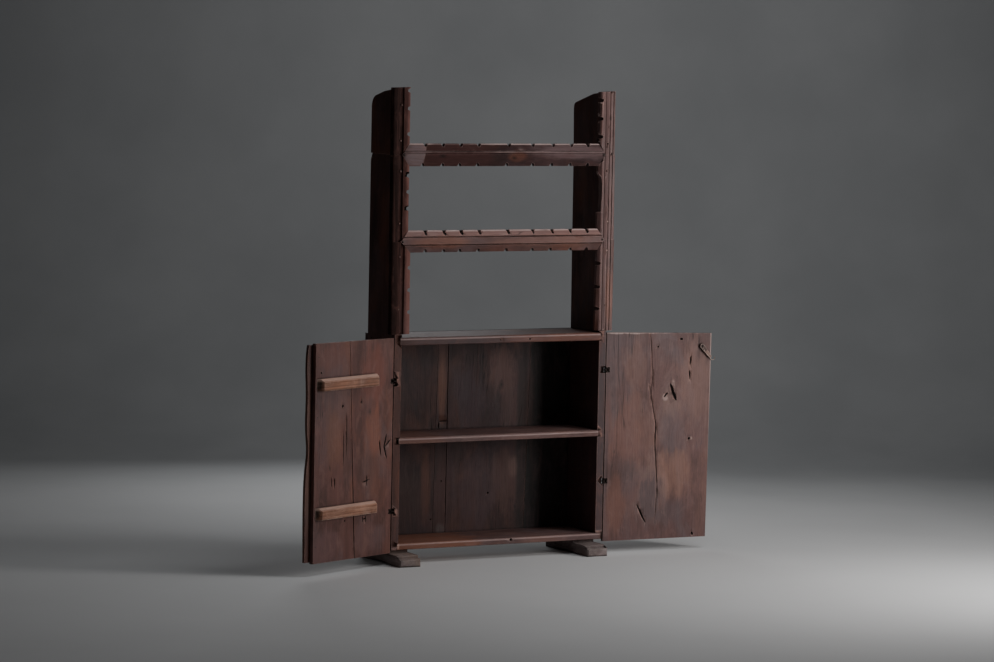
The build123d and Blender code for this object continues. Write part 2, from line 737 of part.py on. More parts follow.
with BuildPart() as button:
    with BuildSketch(button_seat.offset(button_gap)):
        Circle(button_wide)
        with Locations((button_reach, 0)):
            Circle(button_narrow)
        make_hull()
        Circle(pin_radius + pin_clearance, mode=Mode.SUBTRACT)
    extrude(amount=button_thick)
    stem_end = (button_reach + button_narrow, hook_drop, button_gap + button_thick / 2)
    stem = Plane(button_seat.from_local_coords(stem_end), z_dir=-button_seat.x_dir)
    with BuildSketch(stem):
        Circle(hook_wire)
    extrude(amount=2 * button_narrow, mode=Mode.SUBTRACT)
finish(button, "turn_button")

with BuildPart() as hook:
    with BuildSketch(stem.offset(2 * button_narrow)) as wire:
        RegularPolygon(hook_wire, hook_sides)
    extrude(wire.sketch, amount=-2 * button_narrow - hook_straight)
    bend = stem.offset(-hook_straight)
    with BuildSketch(bend) as wire:
        RegularPolygon(hook_wire, hook_sides)
    curl_axis = Axis(bend.origin + button_seat.y_dir * curl_radius, button_seat.z_dir)
    revolve(wire.sketch, axis=curl_axis, revolution_arc=curl_angle)
finish(hook, "turn_button_hook")
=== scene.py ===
# %% [markdown]
# # An old trastero, dressed
#
# A trastero is a plank-built cupboard: two doors below, and above them an open hutch framed by
# notched mouldings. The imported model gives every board, nail and hinge eye its true size and place.
# This notebook adds what a joiner's hands and a few hundred years did to it: worn arrises, hewn
# surfaces, splits, knots, hammered iron, and the finish of each wood.
#
# Lengths are in metres, +Z is up, +X is to the right as one faces the doors, which face -Y.

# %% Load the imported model
import json
import math
from contextlib import contextmanager

import bpy
from mathutils import Euler, Matrix, Vector, noise

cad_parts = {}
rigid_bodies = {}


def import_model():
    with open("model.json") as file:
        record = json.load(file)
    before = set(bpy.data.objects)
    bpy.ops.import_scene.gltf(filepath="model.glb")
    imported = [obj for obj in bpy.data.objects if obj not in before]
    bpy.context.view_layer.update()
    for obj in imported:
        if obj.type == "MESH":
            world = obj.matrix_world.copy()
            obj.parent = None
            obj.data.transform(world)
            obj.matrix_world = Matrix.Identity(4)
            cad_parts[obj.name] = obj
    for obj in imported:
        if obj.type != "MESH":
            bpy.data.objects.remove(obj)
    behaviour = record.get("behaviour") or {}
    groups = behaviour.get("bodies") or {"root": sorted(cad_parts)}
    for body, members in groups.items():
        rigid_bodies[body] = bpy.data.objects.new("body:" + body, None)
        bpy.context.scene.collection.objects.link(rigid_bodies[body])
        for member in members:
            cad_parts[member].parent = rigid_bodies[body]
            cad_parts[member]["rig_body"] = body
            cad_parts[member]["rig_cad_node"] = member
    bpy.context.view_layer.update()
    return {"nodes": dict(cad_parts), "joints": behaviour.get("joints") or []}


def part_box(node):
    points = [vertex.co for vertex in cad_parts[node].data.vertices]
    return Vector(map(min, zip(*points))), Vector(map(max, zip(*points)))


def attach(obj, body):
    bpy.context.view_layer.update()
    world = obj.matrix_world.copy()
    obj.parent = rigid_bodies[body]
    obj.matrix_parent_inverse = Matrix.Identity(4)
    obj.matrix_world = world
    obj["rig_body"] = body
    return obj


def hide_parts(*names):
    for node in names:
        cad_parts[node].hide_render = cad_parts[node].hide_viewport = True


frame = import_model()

MM = 0.001
joints = {joint["name"]: joint for joint in frame["joints"]}

# %% [markdown]
# ## The camera
#
# The camera stands to the left of the cupboard and far off, with a long lens, so upright edges
# stay nearly upright. A rotation matrix can be typed as Euler angles, but it is easier to read
# when it is built from the three directions a photographer would name: where the lens points,
# which way is right, and which way is up. The small roll is the tilt of a hand-levelled tripod.

# %% Camera
camera_place = Vector((-7.7626, -13.9703, 2.2508))
camera_bearing = math.radians(29.0007)      # from +Y towards +X
camera_pitch = math.radians(4.6657)         # downwards
camera_roll = math.radians(1.1473)
camera_lens = 140.19                        # mm, on a 36 mm wide sensor

ahead = Vector((
    math.sin(camera_bearing) * math.cos(camera_pitch),
    math.cos(camera_bearing) * math.cos(camera_pitch),
    -math.sin(camera_pitch),
))
level_right = Vector((math.cos(camera_bearing), -math.sin(camera_bearing), 0))
level_up = level_right.cross(ahead)
right = level_right * math.cos(camera_roll) + level_up * math.sin(camera_roll)
up = right.cross(ahead)

bpy.ops.object.camera_add(location=camera_place)
camera = bpy.context.object
camera.matrix_world = Matrix((right, up, -ahead)).transposed().to_4x4()
camera.matrix_world.translation = camera_place
camera.data.sensor_width = 36
camera.data.lens = camera_lens
camera.data.clip_end = 200
bpy.context.scene.camera = camera
print("camera is", round(camera_place.length, 2), "m from the cupboard")

# %% [markdown]
# ## The floor
#
# A plain pale sweep stands for a studio: a floor that curves up into a backdrop, so there is no
# horizon line. It could be two planes with a seam hidden by light; one extruded profile has no
# seam to hide.

# %% Floor
sweep_back = 3.2                            # where the sweep starts to rise, behind the cupboard
sweep_rise = 2.0                            # radius of its curve
sweep_half = 30

bpy.ops.mesh.primitive_plane_add(size=1)
floor = bpy.context.object
floor.name = "studio_sweep"
turn_to_camera = Matrix.Rotation(-camera_bearing, 4, "Z")
profile = [(-30, 0), (sweep_back, 0)]
for step in range(1, 17):
    angle = step / 16 * math.pi / 2
    profile.append((sweep_back + sweep_rise * math.sin(angle), sweep_rise * (1 - math.cos(angle))))
profile.append((sweep_back + sweep_rise, 14))
sweep_points = [(side, depth, height) for depth, height in profile for side in (-sweep_half, sweep_half)]
sweep_faces = [(i, i + 1, i + 3, i + 2) for i in range(0, len(sweep_points) - 2, 2)]
floor.data.clear_geometry()
floor.data.from_pydata([turn_to_camera @ Vector(p) for p in sweep_points], [], sweep_faces)
floor.data.shade_smooth()

# %% [markdown]
# ## The light
#
# The key light is one tall, window-like panel close by on the right: being near, it falls off
# across the piece, so the right door is brighter than the left one, and the side that faces away
# goes nearly black. A wide, dim panel overhead picks out the tops of the shelves and rails, one
# behind washes the wall, a low one keeps the back of the case readable, and the sky is weak, to
# keep the shadows deep. One big dome would be simpler, and would flatten all of it.

# %% Light
def panel(name, place, aim, size, watts, colour):
    """A soft rectangular light, (wide, high), aimed at a point and unseen by the camera."""
    bpy.ops.object.light_add(type="AREA", location=place)
    light = bpy.context.object
    light.name = name
    light.data.shape = "RECTANGLE"
    light.data.size, light.data.size_y = size
    light.data.energy = watts
    light.data.color = colour
    light.rotation_euler = (Vector(aim) - Vector(place)).to_track_quat("-Z", "Y").to_euler()
    light.visible_camera = False
    return light


white, warm_white, cool_white = (1.0, 1.0, 1.0), (1.0, 0.98, 0.965), (0.97, 0.985, 1.0)
panels = {
    "window": dict(place=(2.0, -2.15, 1.22), aim=(0.05, 0.0, 0.9), size=(0.8, 1.5), watts=40,
                   colour=warm_white),
    "overhead": dict(place=(0.9, -1.4, 3.9), aim=(0.1, 0.0, 1.2), size=(1.6, 1.6), watts=26,
                     colour=cool_white),
    "wall_wash": dict(place=turn_to_camera @ Vector((0.6, 1.6, 3.0)),
                      aim=turn_to_camera @ Vector((0.3, 6.0, 1.2)), size=(3.5, 1.5), watts=50,
                      colour=white),
    "back_fill": dict(place=(1.0, 3.2, 1.3), aim=(0.0, 0.2, 0.9), size=(1.4, 1.0), watts=16,
                      colour=cool_white),
}
for name, settings in panels.items():
    panel(name, **settings)

world = bpy.data.worlds.new("studio")
world.use_nodes = True
sky = world.node_tree.nodes["Background"]
sky.inputs["Color"].default_value = (0.97, 0.98, 1.0, 1)
sky.inputs["Strength"].default_value = 0.05
bpy.context.scene.world = world
print("panels:", len(panels), "window:", panels["window"]["watts"], "W")

# %% [markdown]
# ## Helpers for node groups
#
# A shader can be wired by hand in the node editor, but a script of new nodes and links is long
# and hard to read. So the few nodes that old wood needs get a short function each. A function
# takes sockets or plain values, and hands back the socket that comes out.

# %% Helpers for node groups
origin = (0, 0, 0)


def new_group(name, inputs, outputs):
    """An empty shader group, and what goes in and comes out: a point is a vector, the rest numbers."""
    group = bpy.data.node_groups.new(name, "ShaderNodeTree")
    for label, value in inputs.items():
        kind = "NodeSocketVector" if isinstance(value, tuple) else "NodeSocketFloat"
        group.interface.new_socket(label, in_out="INPUT", socket_type=kind).default_value = value
    for label in outputs:
        kind = "NodeSocketVector" if label == "Vector" else "NodeSocketFloat"
        group.interface.new_socket(label, in_out="OUTPUT", socket_type=kind)
    start = group.nodes.new("NodeGroupInput")
    end = group.nodes.new("NodeGroupOutput")
    return group, start.outputs, end.inputs


def wire(tree, source, target):
    """Feed a socket from another socket, or set it to a constant."""
    if isinstance(source, bpy.types.NodeSocket):
        tree.links.new(source, target)
    else:
        target.default_value = source


def new_node(tree, kind, output, inputs=None, **settings):
    """One new node with its settings and its inputs; its named output comes back."""
    node = tree.nodes.new("ShaderNode" + kind)
    for name, value in settings.items():
        setattr(node, name, value)
    for socket, value in (inputs or {}).items():
        wire(tree, value, node.inputs[socket])
    return node.outputs[output]


def group_node(tree, group, **values):
    """A group placed in a material, with its inputs set or linked."""
    node = tree.nodes.new("ShaderNodeGroup")
    node.node_tree = group
    for label, value in values.items():
        wire(tree, value, node.inputs[label.replace("_", " ").capitalize()])
    return node.outputs


def maths(tree, operation, first, second=0.0, clamp=False):
    """One Math node."""
    return new_node(tree, "Math", 0, {0: first, 1: second}, operation=operation, use_clamp=clamp)


def times(tree, first, second):
    """A product."""
    return maths(tree, "MULTIPLY", first, second)


def summed(tree, *terms):
    """The sum of sockets, each times its weight."""
    total = 0.0
    for socket, weight in terms:
        total = maths(tree, "ADD", total, times(tree, socket, weight))
    return total


def vectors(tree, operation, first, second=origin):
    """One Vector Math node."""
    output = "Value" if operation in ("LENGTH", "DOT_PRODUCT") else "Vector"
    return new_node(tree, "VectorMath", output, {0: first, 1: second}, operation=operation)


def noise_of(tree, vector, scale, detail=3.0, roughness=0.5, distortion=0.0):
    """The value of one Noise node."""
    return new_node(tree, "TexNoise", "Fac", {
        "Vector": vector, "Scale": scale, "Detail": detail, "Roughness": roughness, "Distortion": distortion})


def ranged(tree, value, low, high, to_low=0.0, to_high=1.0):
    """A value spread from one range to another, clamped, with soft ends."""
    inputs = dict(enumerate((value, low, high, to_low, to_high)))
    return new_node(tree, "MapRange", "Result", inputs, interpolation_type="SMOOTHSTEP")


def mixed(tree, factor, first, second):
    """One Mix node on colours."""
    return new_node(tree, "Mix", "Result", {"Factor": factor, "A": first, "B": second}, data_type="RGBA")


def stretched(tree, vector, across, along, shift=0.0):
    """The vector scaled, so that noise read from it is stretched along the grain."""
    scaled = vectors(tree, "MULTIPLY", vector, (across, across, along))
    return vectors(tree, "ADD", scaled, (shift, shift, shift)) if shift else scaled


def turned_space(tree, turned, start=origin):
    """Object coordinates, turned and shifted into a space of their own."""
    place = new_node(tree, "TexCoord", "Object")
    return new_node(tree, "Mapping", "Vector", {"Vector": place, "Rotation": turned, "Location": start},
                    vector_type="TEXTURE")


def finished(name, surface):
    """A new material, whose Principled inputs come from a function of its node tree."""
    material = bpy.data.materials.new(name)
    material.use_nodes = True
    shader = material.node_tree.nodes["Principled BSDF"]
    for socket, value in surface(material.node_tree).items():
        wire(material.node_tree, value, shader.inputs[socket])
    return material

# %% [markdown]
# ## The paint of the sweep
#
# The floor is a pale grey and the wall a darker one. Two materials would leave a line where they
# meet, so one paint deepens with its depth behind the cupboard, and slow brush marks break it up.
# Seen from behind, the paint is clear, so that the cupboard can be looked at from every side.

# %% Paint of the sweep
def painted(tree):
    """Pale near the cupboard, deeper behind it, brushed, and clear from behind."""
    space = turned_space(tree, (0, 0, -camera_bearing))
    depth = new_node(tree, "SeparateXYZ", "Y", {"Vector": space})
    deepen = ranged(tree, depth, -0.4, sweep_back + 0.3 * sweep_rise, 0.0, 0.9)
    brushed = maths(tree, "ADD", times(tree, noise_of(tree, space, 1.3, 6), 0.16), deepen)
    from_behind = new_node(tree, "NewGeometry", "Backfacing")
    return {"Base Color": mixed(tree, brushed, (0.8, 0.8, 0.8, 1), (0.20, 0.205, 0.21, 1)),
            "Roughness": 0.8, "Alpha": maths(tree, "SUBTRACT", 1, from_behind)}


floor.data.materials.append(finished("studio_paint", painted))
print("paint:", len(floor.data.materials[0].node_tree.nodes), "nodes")

# %% [markdown]
# ## The figure of the wood
#
# Every board here is the same kind of thing: a sawn or split plank, darkened by smoke and wax. So
# its figure is built once, as a shader group, and each material gives it its own values. The
# group takes a vector whose Z runs along the grain. Noise stretched along Z gives the streaks, a
# bent distance from a far-off pith gives the growth rings, and a fine, hard-clipped noise gives
# the open pores. Two slow noises stand for what three centuries of hands and smoke leave: grey
# hazes, and warm patches where the wax has gone deep. An image of wood would be quicker, but it
# repeats, and it stops at the end grain, while this goes through the board as the real thing does.

# %% The wood figure
def make_figure():
    """Group: the streaks, rings, pores, hazes and hair cracks of a plank."""
    group, given, out = new_group(
        "wood_figure", {"Vector": origin, "Ring width": 0.011, "Waviness": 0.05},
        ("Rings", "Streak", "Fibre", "Pores", "Stain", "Haze", "Warmth", "Cloud", "Checks"))
    vector = given["Vector"]
    # The grain wanders: the vector is pushed sideways by slow noises before anything reads it.
    slow = noise_of(group, stretched(group, vector, 3.5, 0.9), 1.0, 2)
    wander = times(group, maths(group, "SUBTRACT", slow, 0.5), given["Waviness"])
    quick = noise_of(group, stretched(group, vector, 14, 3.2), 1.0, 2)
    ripple = times(group, maths(group, "SUBTRACT", quick, 0.5), 0.032)
    sideways = new_node(group, "CombineXYZ", "Vector", {"X": maths(group, "ADD", ripple, wander)})
    bent = vectors(group, "ADD", vector, sideways)

    # Rings: distance from a pith behind the board, which leans, so that they run out in arches.
    across, through, along = [new_node(group, "SeparateXYZ", axis, {"Vector": bent}) for axis in "XYZ"]
    behind = maths(group, "ADD", maths(group, "ADD", through, 0.09), times(group, along, 0.045))
    radius = vectors(group, "LENGTH", new_node(group, "CombineXYZ", "Vector", {"X": across, "Y": behind}))
    saw = maths(group, "FRACT", maths(group, "DIVIDE", radius, given["Ring width"]))
    early, late = maths(group, "POWER", saw, 2.5), ranged(group, saw, 0.86, 1.0, 1.0, 0.0)
    wire(group, times(group, early, late), out["Rings"])

    # The rest are noises: how each is stretched and shifted, how fine it is, and the range kept.
    for label, stretch, fineness, kept in (
            ("Streak", (62, 2.1), (4, 0.58), None), ("Fibre", (330, 9), (3, 0.6), None),
            ("Pores", (640, 26), (1,), (0.60, 0.72)), ("Stain", (10, 3.2), (5, 0.62, 0.5), None),
            ("Haze", (5.2, 2.4, 7.3), (5, 0.62, 0.7), (0.46, 0.66)),
            ("Warmth", (6.4, 2.6, 19.1), (5, 0.6, 0.6), (0.47, 0.68)),
            ("Cloud", (19, 10, 31.7), (6, 0.66, 0.9), (0.48, 0.72))):
        value = noise_of(group, stretched(group, bent, *stretch), 1.0, *fineness)
        wire(group, ranged(group, value, *kept) if kept else value, out[label])
    # Checks: thin, long, rare lines where the board dried and opened.
    lines = noise_of(group, stretched(group, bent, 30, 1.1, 3.7), 1.0, 2, 0.5)
    near_line = maths(group, "ABSOLUTE", maths(group, "SUBTRACT", lines, 0.5))
    hair = ranged(group, near_line, 0.0, 0.009, 1.0, 0.0)
    where = ranged(group, noise_of(group, stretched(group, bent, 8, 2.4), 1.0, 2), 0.56, 0.66)
    wire(group, times(group, hair, where), out["Checks"])
    return group


wood_figure = make_figure()
print("wood_figure:", len(wood_figure.nodes), "nodes")

# %% [markdown]
# ## Knots and stains
#
# A knot is a branch that the trunk grew round: the grain parts before it and closes behind it,
# and its own rings show end-on. The group squeezes the vector near the knot, so that every
# pattern read from it afterwards bows round the branch. A stain is an oval whose border a noise
# has eaten into; the same oval also lays painted highlights and painted shadows on some boards.
# Both could be painted on a UV map, but a centre and a size say the same thing in a line each,
# and they can be moved.

# %% Knot and stain groups
def make_knot():
    """Group: bends the grain round a branch, and gives the branch's rings and its dark heart."""
    group, given, out = new_group(
        "knot", {"Vector": origin, "Centre": origin, "Size": 0.012}, ("Vector", "Branch", "Heart"))
    away = vectors(group, "SUBTRACT", given["Vector"], given["Centre"])
    flat = vectors(group, "MULTIPLY", away, (1, 0, 0.55))
    reach = vectors(group, "LENGTH", flat)
    wobble = noise_of(group, given["Vector"], 85, 3)
    reach = times(group, reach, ranged(group, wobble, 0.2, 0.8, 0.8, 1.2))
    radius = maths(group, "DIVIDE", reach, given["Size"])
    near = maths(group, "POWER", 2.718, times(group, maths(group, "POWER", radius, 2.0), -0.28))
    squeeze = new_node(group, "CombineXYZ", "Vector", {"X": times(group, near, -0.85)})
    pushed = vectors(group, "MULTIPLY", away, squeeze)
    wire(group, vectors(group, "ADD", given["Vector"], pushed), out["Vector"])
    inside = ranged(group, radius, 0.72, 1.05, 1.0, 0.0)
    rings = maths(group, "SINE", times(group, radius, 16.0))
    ringed = ranged(group, rings, -1.0, 1.0, 0.55, 1.0)
    wire(group, times(group, inside, ringed), out["Branch"])
    wire(group, ranged(group, radius, 0.12, 0.5, 1.0, 0.0), out["Heart"])
    return group


def make_stain_and_light_oval():
    """Group: 1 inside an oval with a ragged border."""
    group, given, out = new_group(
        "stain", {"Vector": origin, "Centre": origin, "Size": (0.1, 9, 0.1), "Ragged": 0.8}, ["Mask"])
    away = vectors(group, "SUBTRACT", given["Vector"], given["Centre"])
    reach = vectors(group, "LENGTH", vectors(group, "DIVIDE", away, given["Size"]))
    border = noise_of(group, stretched(group, given["Vector"], 26, 9), 1.0, 5, 0.62)
    eaten = times(group, maths(group, "SUBTRACT", border, 0.5), given["Ragged"])
    edge = maths(group, "ADD", reach, times(group, eaten, 2.0))
    wire(group, ranged(group, edge, 0.45, 1.0, 1.0, 0.0), out["Mask"])
    return group


knot = make_knot()
stain = make_stain_and_light_oval()
print("knot:", len(knot.nodes), "nodes, stain:", len(stain.nodes), "nodes")

# %% [markdown]
# ## Wear, grime with painted shade, and dust
#
# Hands and cloths rub the arrises pale, and the corners are darkened, as grime and as painted
# shade. A Bevel node returns the normal a rounded edge would have: where it differs from the true
# one, there is an edge. An Ambient Occlusion node tells an arris, which is open, from a corner,
# which is shut in, and the shut-in corners get the painted shade. They work on any mesh, without
# paint or vertex colours. Dust lies on faces that look up.

# %% Wear and dust groups
def make_age():
    """Group: rubbed arrises, broken up along their length, and the grime and painted shade of corners and
    notches.
    """
    group, given, out = new_group(
        "age", {"Vector": origin, "Width": 0.004, "Reach": 0.012}, ("Worn", "Grime_and_shade"))
    soft = new_node(group, "Bevel", "Normal", {"Radius": given["Width"]}, samples=6)
    shut_in = new_node(group, "AmbientOcclusion", "AO", {"Distance": given["Reach"]}, samples=6)
    same = vectors(group, "DOT_PRODUCT", new_node(group, "NewGeometry", "True Normal"), soft)
    edge = ranged(group, maths(group, "SUBTRACT", 1.0, same), 0.004, 0.16)
    open_air = ranged(group, shut_in, 0.72, 0.95)
    breaks = ranged(group, noise_of(group, given["Vector"], 34, 4, 0.6), 0.34, 0.58, 0.25, 1.0)
    rubbed = times(group, times(group, edge, open_air), breaks)
    wire(group, rubbed, out["Worn"])
    # Shut-in corners darken: grime, and painted shade.
    corner = ranged(group, shut_in, 0.35, 0.92, 1.0, 0.0)
    patchy = ranged(group, noise_of(group, given["Vector"], 23, 4, 0.6), 0.3, 0.65, 0.55, 1.0)
    wire(group, times(group, corner, patchy), out["Grime_and_shade"])
    return group


def make_dust():
    """Group: 1 where pale dust has settled, on faces that look up and in a thin film elsewhere."""
    group, given, out = new_group("dust", {"Vector": origin}, ["Mask"])
    upwards = new_node(group, "SeparateXYZ", "Z", {"Vector": new_node(group, "NewGeometry", "Normal")})
    level = ranged(group, upwards, 0.45, 0.95, 0.1, 1.0)
    film = noise_of(group, given["Vector"], 21, 5, 0.65)
    grains = ranged(group, noise_of(group, given["Vector"], 900, 2), 0.45, 0.7, 0.55, 1.0)
    spread = times(group, ranged(group, film, 0.35, 0.75), grains)
    wire(group, maths(group, "MULTIPLY", level, spread, clamp=True), out["Mask"])
    return group


age = make_age()
dust = make_dust()
print("age:", len(age.nodes), "nodes, dust:", len(dust.nodes), "nodes")

# %% [markdown]
# ## Where the grain runs
#
# Object coordinates are metres in the shared frame. A Mapping node set to Texture turns them into
# a board's own space: X across the board, Z along its grain, and its own corner of the tree, so
# that no two boards are cut from the same spot. The doors stand at an angle, so their mapping is
# turned to their planes.

# %% Board spaces
left_hinge = Vector((*joints["left_door_hinge"]["pos_m"][:2], 0))
right_hinge = Vector((*joints["right_door_hinge"]["pos_m"][:2], 0))
left_angle, right_angle = -155.75, -3.75    # degrees from +X, of the two open doors
left_turn = math.radians(left_angle)
right_turn = math.radians(right_angle)
lie = math.radians(90)                      # tips a vector so that its Z runs along the board

upright = (0, 0, 0)
along_x = (0, lie, 0)
along_y = (lie, 0, 0)
on_left_door = (0, 0, left_turn)
across_left_door = (0, lie, left_turn)
on_right_door = (0, 0, right_turn)


def place_in_tree(number):
    """A start for a board's space that no other board shares."""
    return (0.37 * number, 0.021 * (number % 5) - 0.04, 1.7 * number)


def in_board_space(point, turned, start):
    """Where a point of the frame lies in a board's space."""
    return Euler(turned).to_matrix().transposed() @ (Vector(point) - Vector(start))


def on_case(x, z):
    """A point of the case's front or back, in millimetres from the middle and the floor."""
    return Vector((x, 0, z)) * MM


def on_door(side, along, z):
    """A point of a door's plane, in millimetres from its hinge and from the floor."""
    hinge, turned = {"left": (left_hinge, left_turn), "right": (right_hinge, right_turn)}[side]
    return hinge + Vector((math.cos(turned), math.sin(turned), 0)) * along * MM + Vector((0, 0, z * MM))

# %% [markdown]
# ## Wood
#
# One function makes every wood, and its arguments are what differs from board to board: its
# tones, how far the wear has gone, how rough the saw left it, and its knots and stains, some of
# which are painted highlights and painted shadows. The order is the order in which it happened:
# the heartwood, the grain, the stains, the smoke, the hands, and last the dust; the grime of the
# corners also carries painted shade. Wax makes old boards half-glossy, so roughness falls where
# they are rubbed and rises in pores, grime and dust.

# %% Wood material
def tone(red, green, blue):
    """A colour given as it would be read off a screen, made linear."""
    return tuple(((c / 255 + 0.055) / 1.055) ** 2.4 for c in (red, green, blue)) + (1,)


# Near black: in pores, checks and knot hearts, and the painted shade of corners.
soot_and_shade = tone(20, 14, 12)


def bumped(tree, height, strength, distance):
    """The normal of a bump."""
    return new_node(tree, "Bump", "Normal", {"Height": height, "Strength": strength, "Distance": distance})


def wooden(tree, turned, start, look, wear=0.6, edge=4.5, dusty=0.25, grimy=0.8, gloss=0.5, sheen=0.4,
           rough=0.35, ring=0.011, knots=(), stains=()):
    """An old board's finish, shade painted in its corners. Knots are (point, size), stains and painted light
    (point, across, along, tone, strength).
    """
    space = turned_space(tree, turned, start)
    aged = group_node(tree, age, vector=space, width=edge * MM)
    dusted = times(tree, group_node(tree, dust, vector=space)["Mask"], dusty)
    branch, heart_of_knot = 0.0, 0.0
    grain_space = space
    for point, size in knots:
        centre = in_board_space(point, turned, start)
        placed = group_node(tree, knot, vector=grain_space, centre=centre, size=size * MM)
        grain_space = placed["Vector"]
        branch = maths(tree, "MAXIMUM", placed["Branch"], branch)
        heart_of_knot = maths(tree, "MAXIMUM", placed["Heart"], heart_of_knot)
    figure = group_node(tree, wood_figure, vector=grain_space, ring_width=ring)

    colour = mixed(tree, ranged(tree, figure["Stain"], 0.30, 0.70), look["dark"], look["middle"])
    layers = [
        (times(tree, figure["Warmth"], 0.75), look["warm"]), (times(tree, figure["Haze"], 0.6), look["grey"])]
    for point, across, along, tint, strength in stains:
        oval = group_node(tree, stain, vector=space, centre=in_board_space(point, turned, start),
                          size=(across * MM, 9, along * MM), ragged=min(0.8, across / 90))["Mask"]
        layers.append((times(tree, oval, strength), tint))
    layers += [
        (ranged(tree, figure["Streak"], 0.50, 0.80, 0.0, 0.42), look["light"]),
        (ranged(tree, figure["Streak"], 0.20, 0.44, 0.3, 0.0), look["dark"]),
        (times(tree, figure["Cloud"], 0.35), look["light"]),
        (ranged(tree, figure["Fibre"], 0.30, 0.50, 0.22, 0.0), look["dark"]),
        (times(tree, figure["Rings"], 0.2), look["dark"]),
        (times(tree, figure["Pores"], 0.3), soot_and_shade),
        (times(tree, figure["Checks"], 0.7), soot_and_shade),
    ]
    if knots:
        layers += [(times(tree, branch, 0.55), look["dark"]), (times(tree, heart_of_knot, 0.7), soot_and_shade)]
    # The grime layer darkens corners and notches towards near black: grime, and painted shade.
    layers += [
        (times(tree, aged["Worn"], wear), look["rubbed"]),
        (times(tree, aged["Grime_and_shade"], grimy), soot_and_shade),
        (dusted, tone(146, 134, 126)),
    ]
    for mask, tint in layers:
        colour = mixed(tree, mask, colour, tint)

    matt = summed(tree, (figure["Streak"], 0.2), (dusted, 0.4), (aged["Grime_and_shade"], 0.2), (aged["Worn"], -0.12))
    relief = summed(tree, (figure["Fibre"], 0.45), (figure["Streak"], 0.8), (figure["Pores"], -0.25),
                    (figure["Checks"], -0.9), (figure["Stain"], 1.6))
    return {"Base Color": colour, "Roughness": maths(tree, "ADD", matt, gloss, clamp=True),
            "Specular IOR Level": sheen, "Normal": bumped(tree, relief, rough, 0.0016)}


def wood(name, *places, **finish):
    """A new material of old wood."""
    return finished(name, lambda tree: wooden(tree, *places, **finish))

# %% [markdown]
# ## The tones of the woods
#
# Old boards of one cupboard differ as much as new ones of several trees: smoke, wax and light have
# each had their way. Six tones tell one kind of board from another: the dark and light of its
# grain, the middle between them, a grey haze, a warm patch, and what shows where it is rubbed.

# %% Tones of the woods
def look_of(*tones):
    """The six tones of one kind of board, as they would be read off a screen."""
    names = ("dark", "middle", "light", "grey", "warm", "rubbed")
    return {name: tone(*colour) for name, colour in zip(names, tones)}


heart = look_of((58, 32, 28), (92, 54, 46), (124, 82, 72), (86, 66, 66), (118, 66, 46), (176, 134, 122))
carved = look_of((56, 32, 28), (102, 62, 54), (140, 98, 90), (118, 90, 90), (124, 74, 56), (206, 168, 158))
pale_door = look_of(
    (80, 55, 52), (110, 78, 74), (138, 109, 104), (106, 90, 92), (126, 90, 80), (200, 166, 154))
door = look_of((78, 46, 41), (112, 70, 62), (142, 102, 93), (102, 81, 81), (134, 84, 67), (190, 152, 140))
batten = look_of(
    (112, 68, 48), (178, 124, 96), (216, 172, 148), (166, 132, 118), (188, 126, 92), (240, 212, 196))
smoked = look_of((42, 26, 26), (64, 40, 39), (88, 62, 60), (66, 49, 53), (94, 60, 51), (124, 94, 86))
weathered = look_of(
    (96, 82, 80), (146, 130, 128), (184, 172, 168), (158, 150, 152), (142, 120, 108), (214, 204, 200))
dark_rail = look_of((38, 22, 21), (64, 38, 36), (96, 66, 63), (84, 64, 66), (84, 48, 38), (210, 178, 172))
print("tones of one wood:", len(heart))

# %% [markdown]
# ## Iron
#
# The hinges and nails are forged from bar and drawn wire. Scale from the forge is nearly black,
# rust comes through it in patches, the high spots are rubbed to bare metal, and the corners are
# darkened with grime and painted shade.

# %% Iron material
def iron(name, scale, rust, bright, rough):
    """Hand-forged iron."""
    def surface(tree):
        space = turned_space(tree, upright)
        patches = noise_of(tree, space, 160, 4, 0.6)
        pits = noise_of(tree, space, 900, 3, 0.6)
        aged = group_node(tree, age, vector=space, width=0.0012, reach=0.006)
        rusted = ranged(tree, patches, 0.42, 0.6)
        colour = mixed(tree, rusted, scale, rust)
        colour = mixed(tree, times(tree, aged["Worn"], 0.75), colour, bright)
        # Corners darken towards near black: grime, and painted shade.
        return {
            "Base Color": mixed(tree, times(tree, aged["Grime_and_shade"], 0.7), colour, soot_and_shade),
            "Metallic": ranged(tree, rusted, 0.0, 1.0, 0.85, 0.15),
            "Roughness": ranged(tree, patches, 0.3, 0.7, rough, rough + 0.3),
            "Normal": bumped(tree, summed(tree, (patches, 1.0), (pits, 0.5)), 0.6, 0.0006)}

    return finished(name, surface)


forged = iron("forged_iron", tone(34, 29, 27), tone(52, 33, 26), tone(160, 148, 138), 0.42)
bare_wire = iron("bare_wire", tone(128, 120, 112), tone(118, 92, 76), tone(206, 198, 188), 0.32)
print("irons:", forged.name, bare_wire.name)

# %% [markdown]
# ## Working on copies
#
# A imported piece is never reshaped itself: a copy is worked, and then stands in its place, on the
# same body. Modelling new boards from nothing would be freer, but a copy starts with every size and
# notch where it should be.


def only(piece):
    """Deselect everything, then select and activate one piece."""
    bpy.ops.object.select_all(action="DESELECT")
    piece.select_set(True)
    bpy.context.view_layer.objects.active = piece


@contextmanager
def edit_mode():
    """Edit the active piece while the block lasts, with all of it selected."""
    bpy.ops.object.mode_set(mode="EDIT")
    bpy.ops.mesh.select_all(action="SELECT")
    yield
    bpy.ops.object.mode_set(mode="OBJECT")


def modify(piece, kind, **settings):
    """Put a modifier on a piece and apply it."""
    modifier = piece.modifiers.new("shaping", kind)
    for name, value in settings.items():
        setattr(modifier, name, value)
    only(piece)
    bpy.ops.object.modifier_apply(modifier="shaping")


def smoothed(piece, degrees):
    """Shade a piece smooth, but for its sharper edges."""
    only(piece)
    bpy.ops.object.shade_smooth_by_angle(angle=math.radians(degrees))


def coat(piece, material):
    """Give a piece one material."""
    piece.data.materials.clear()
    piece.data.materials.append(material)


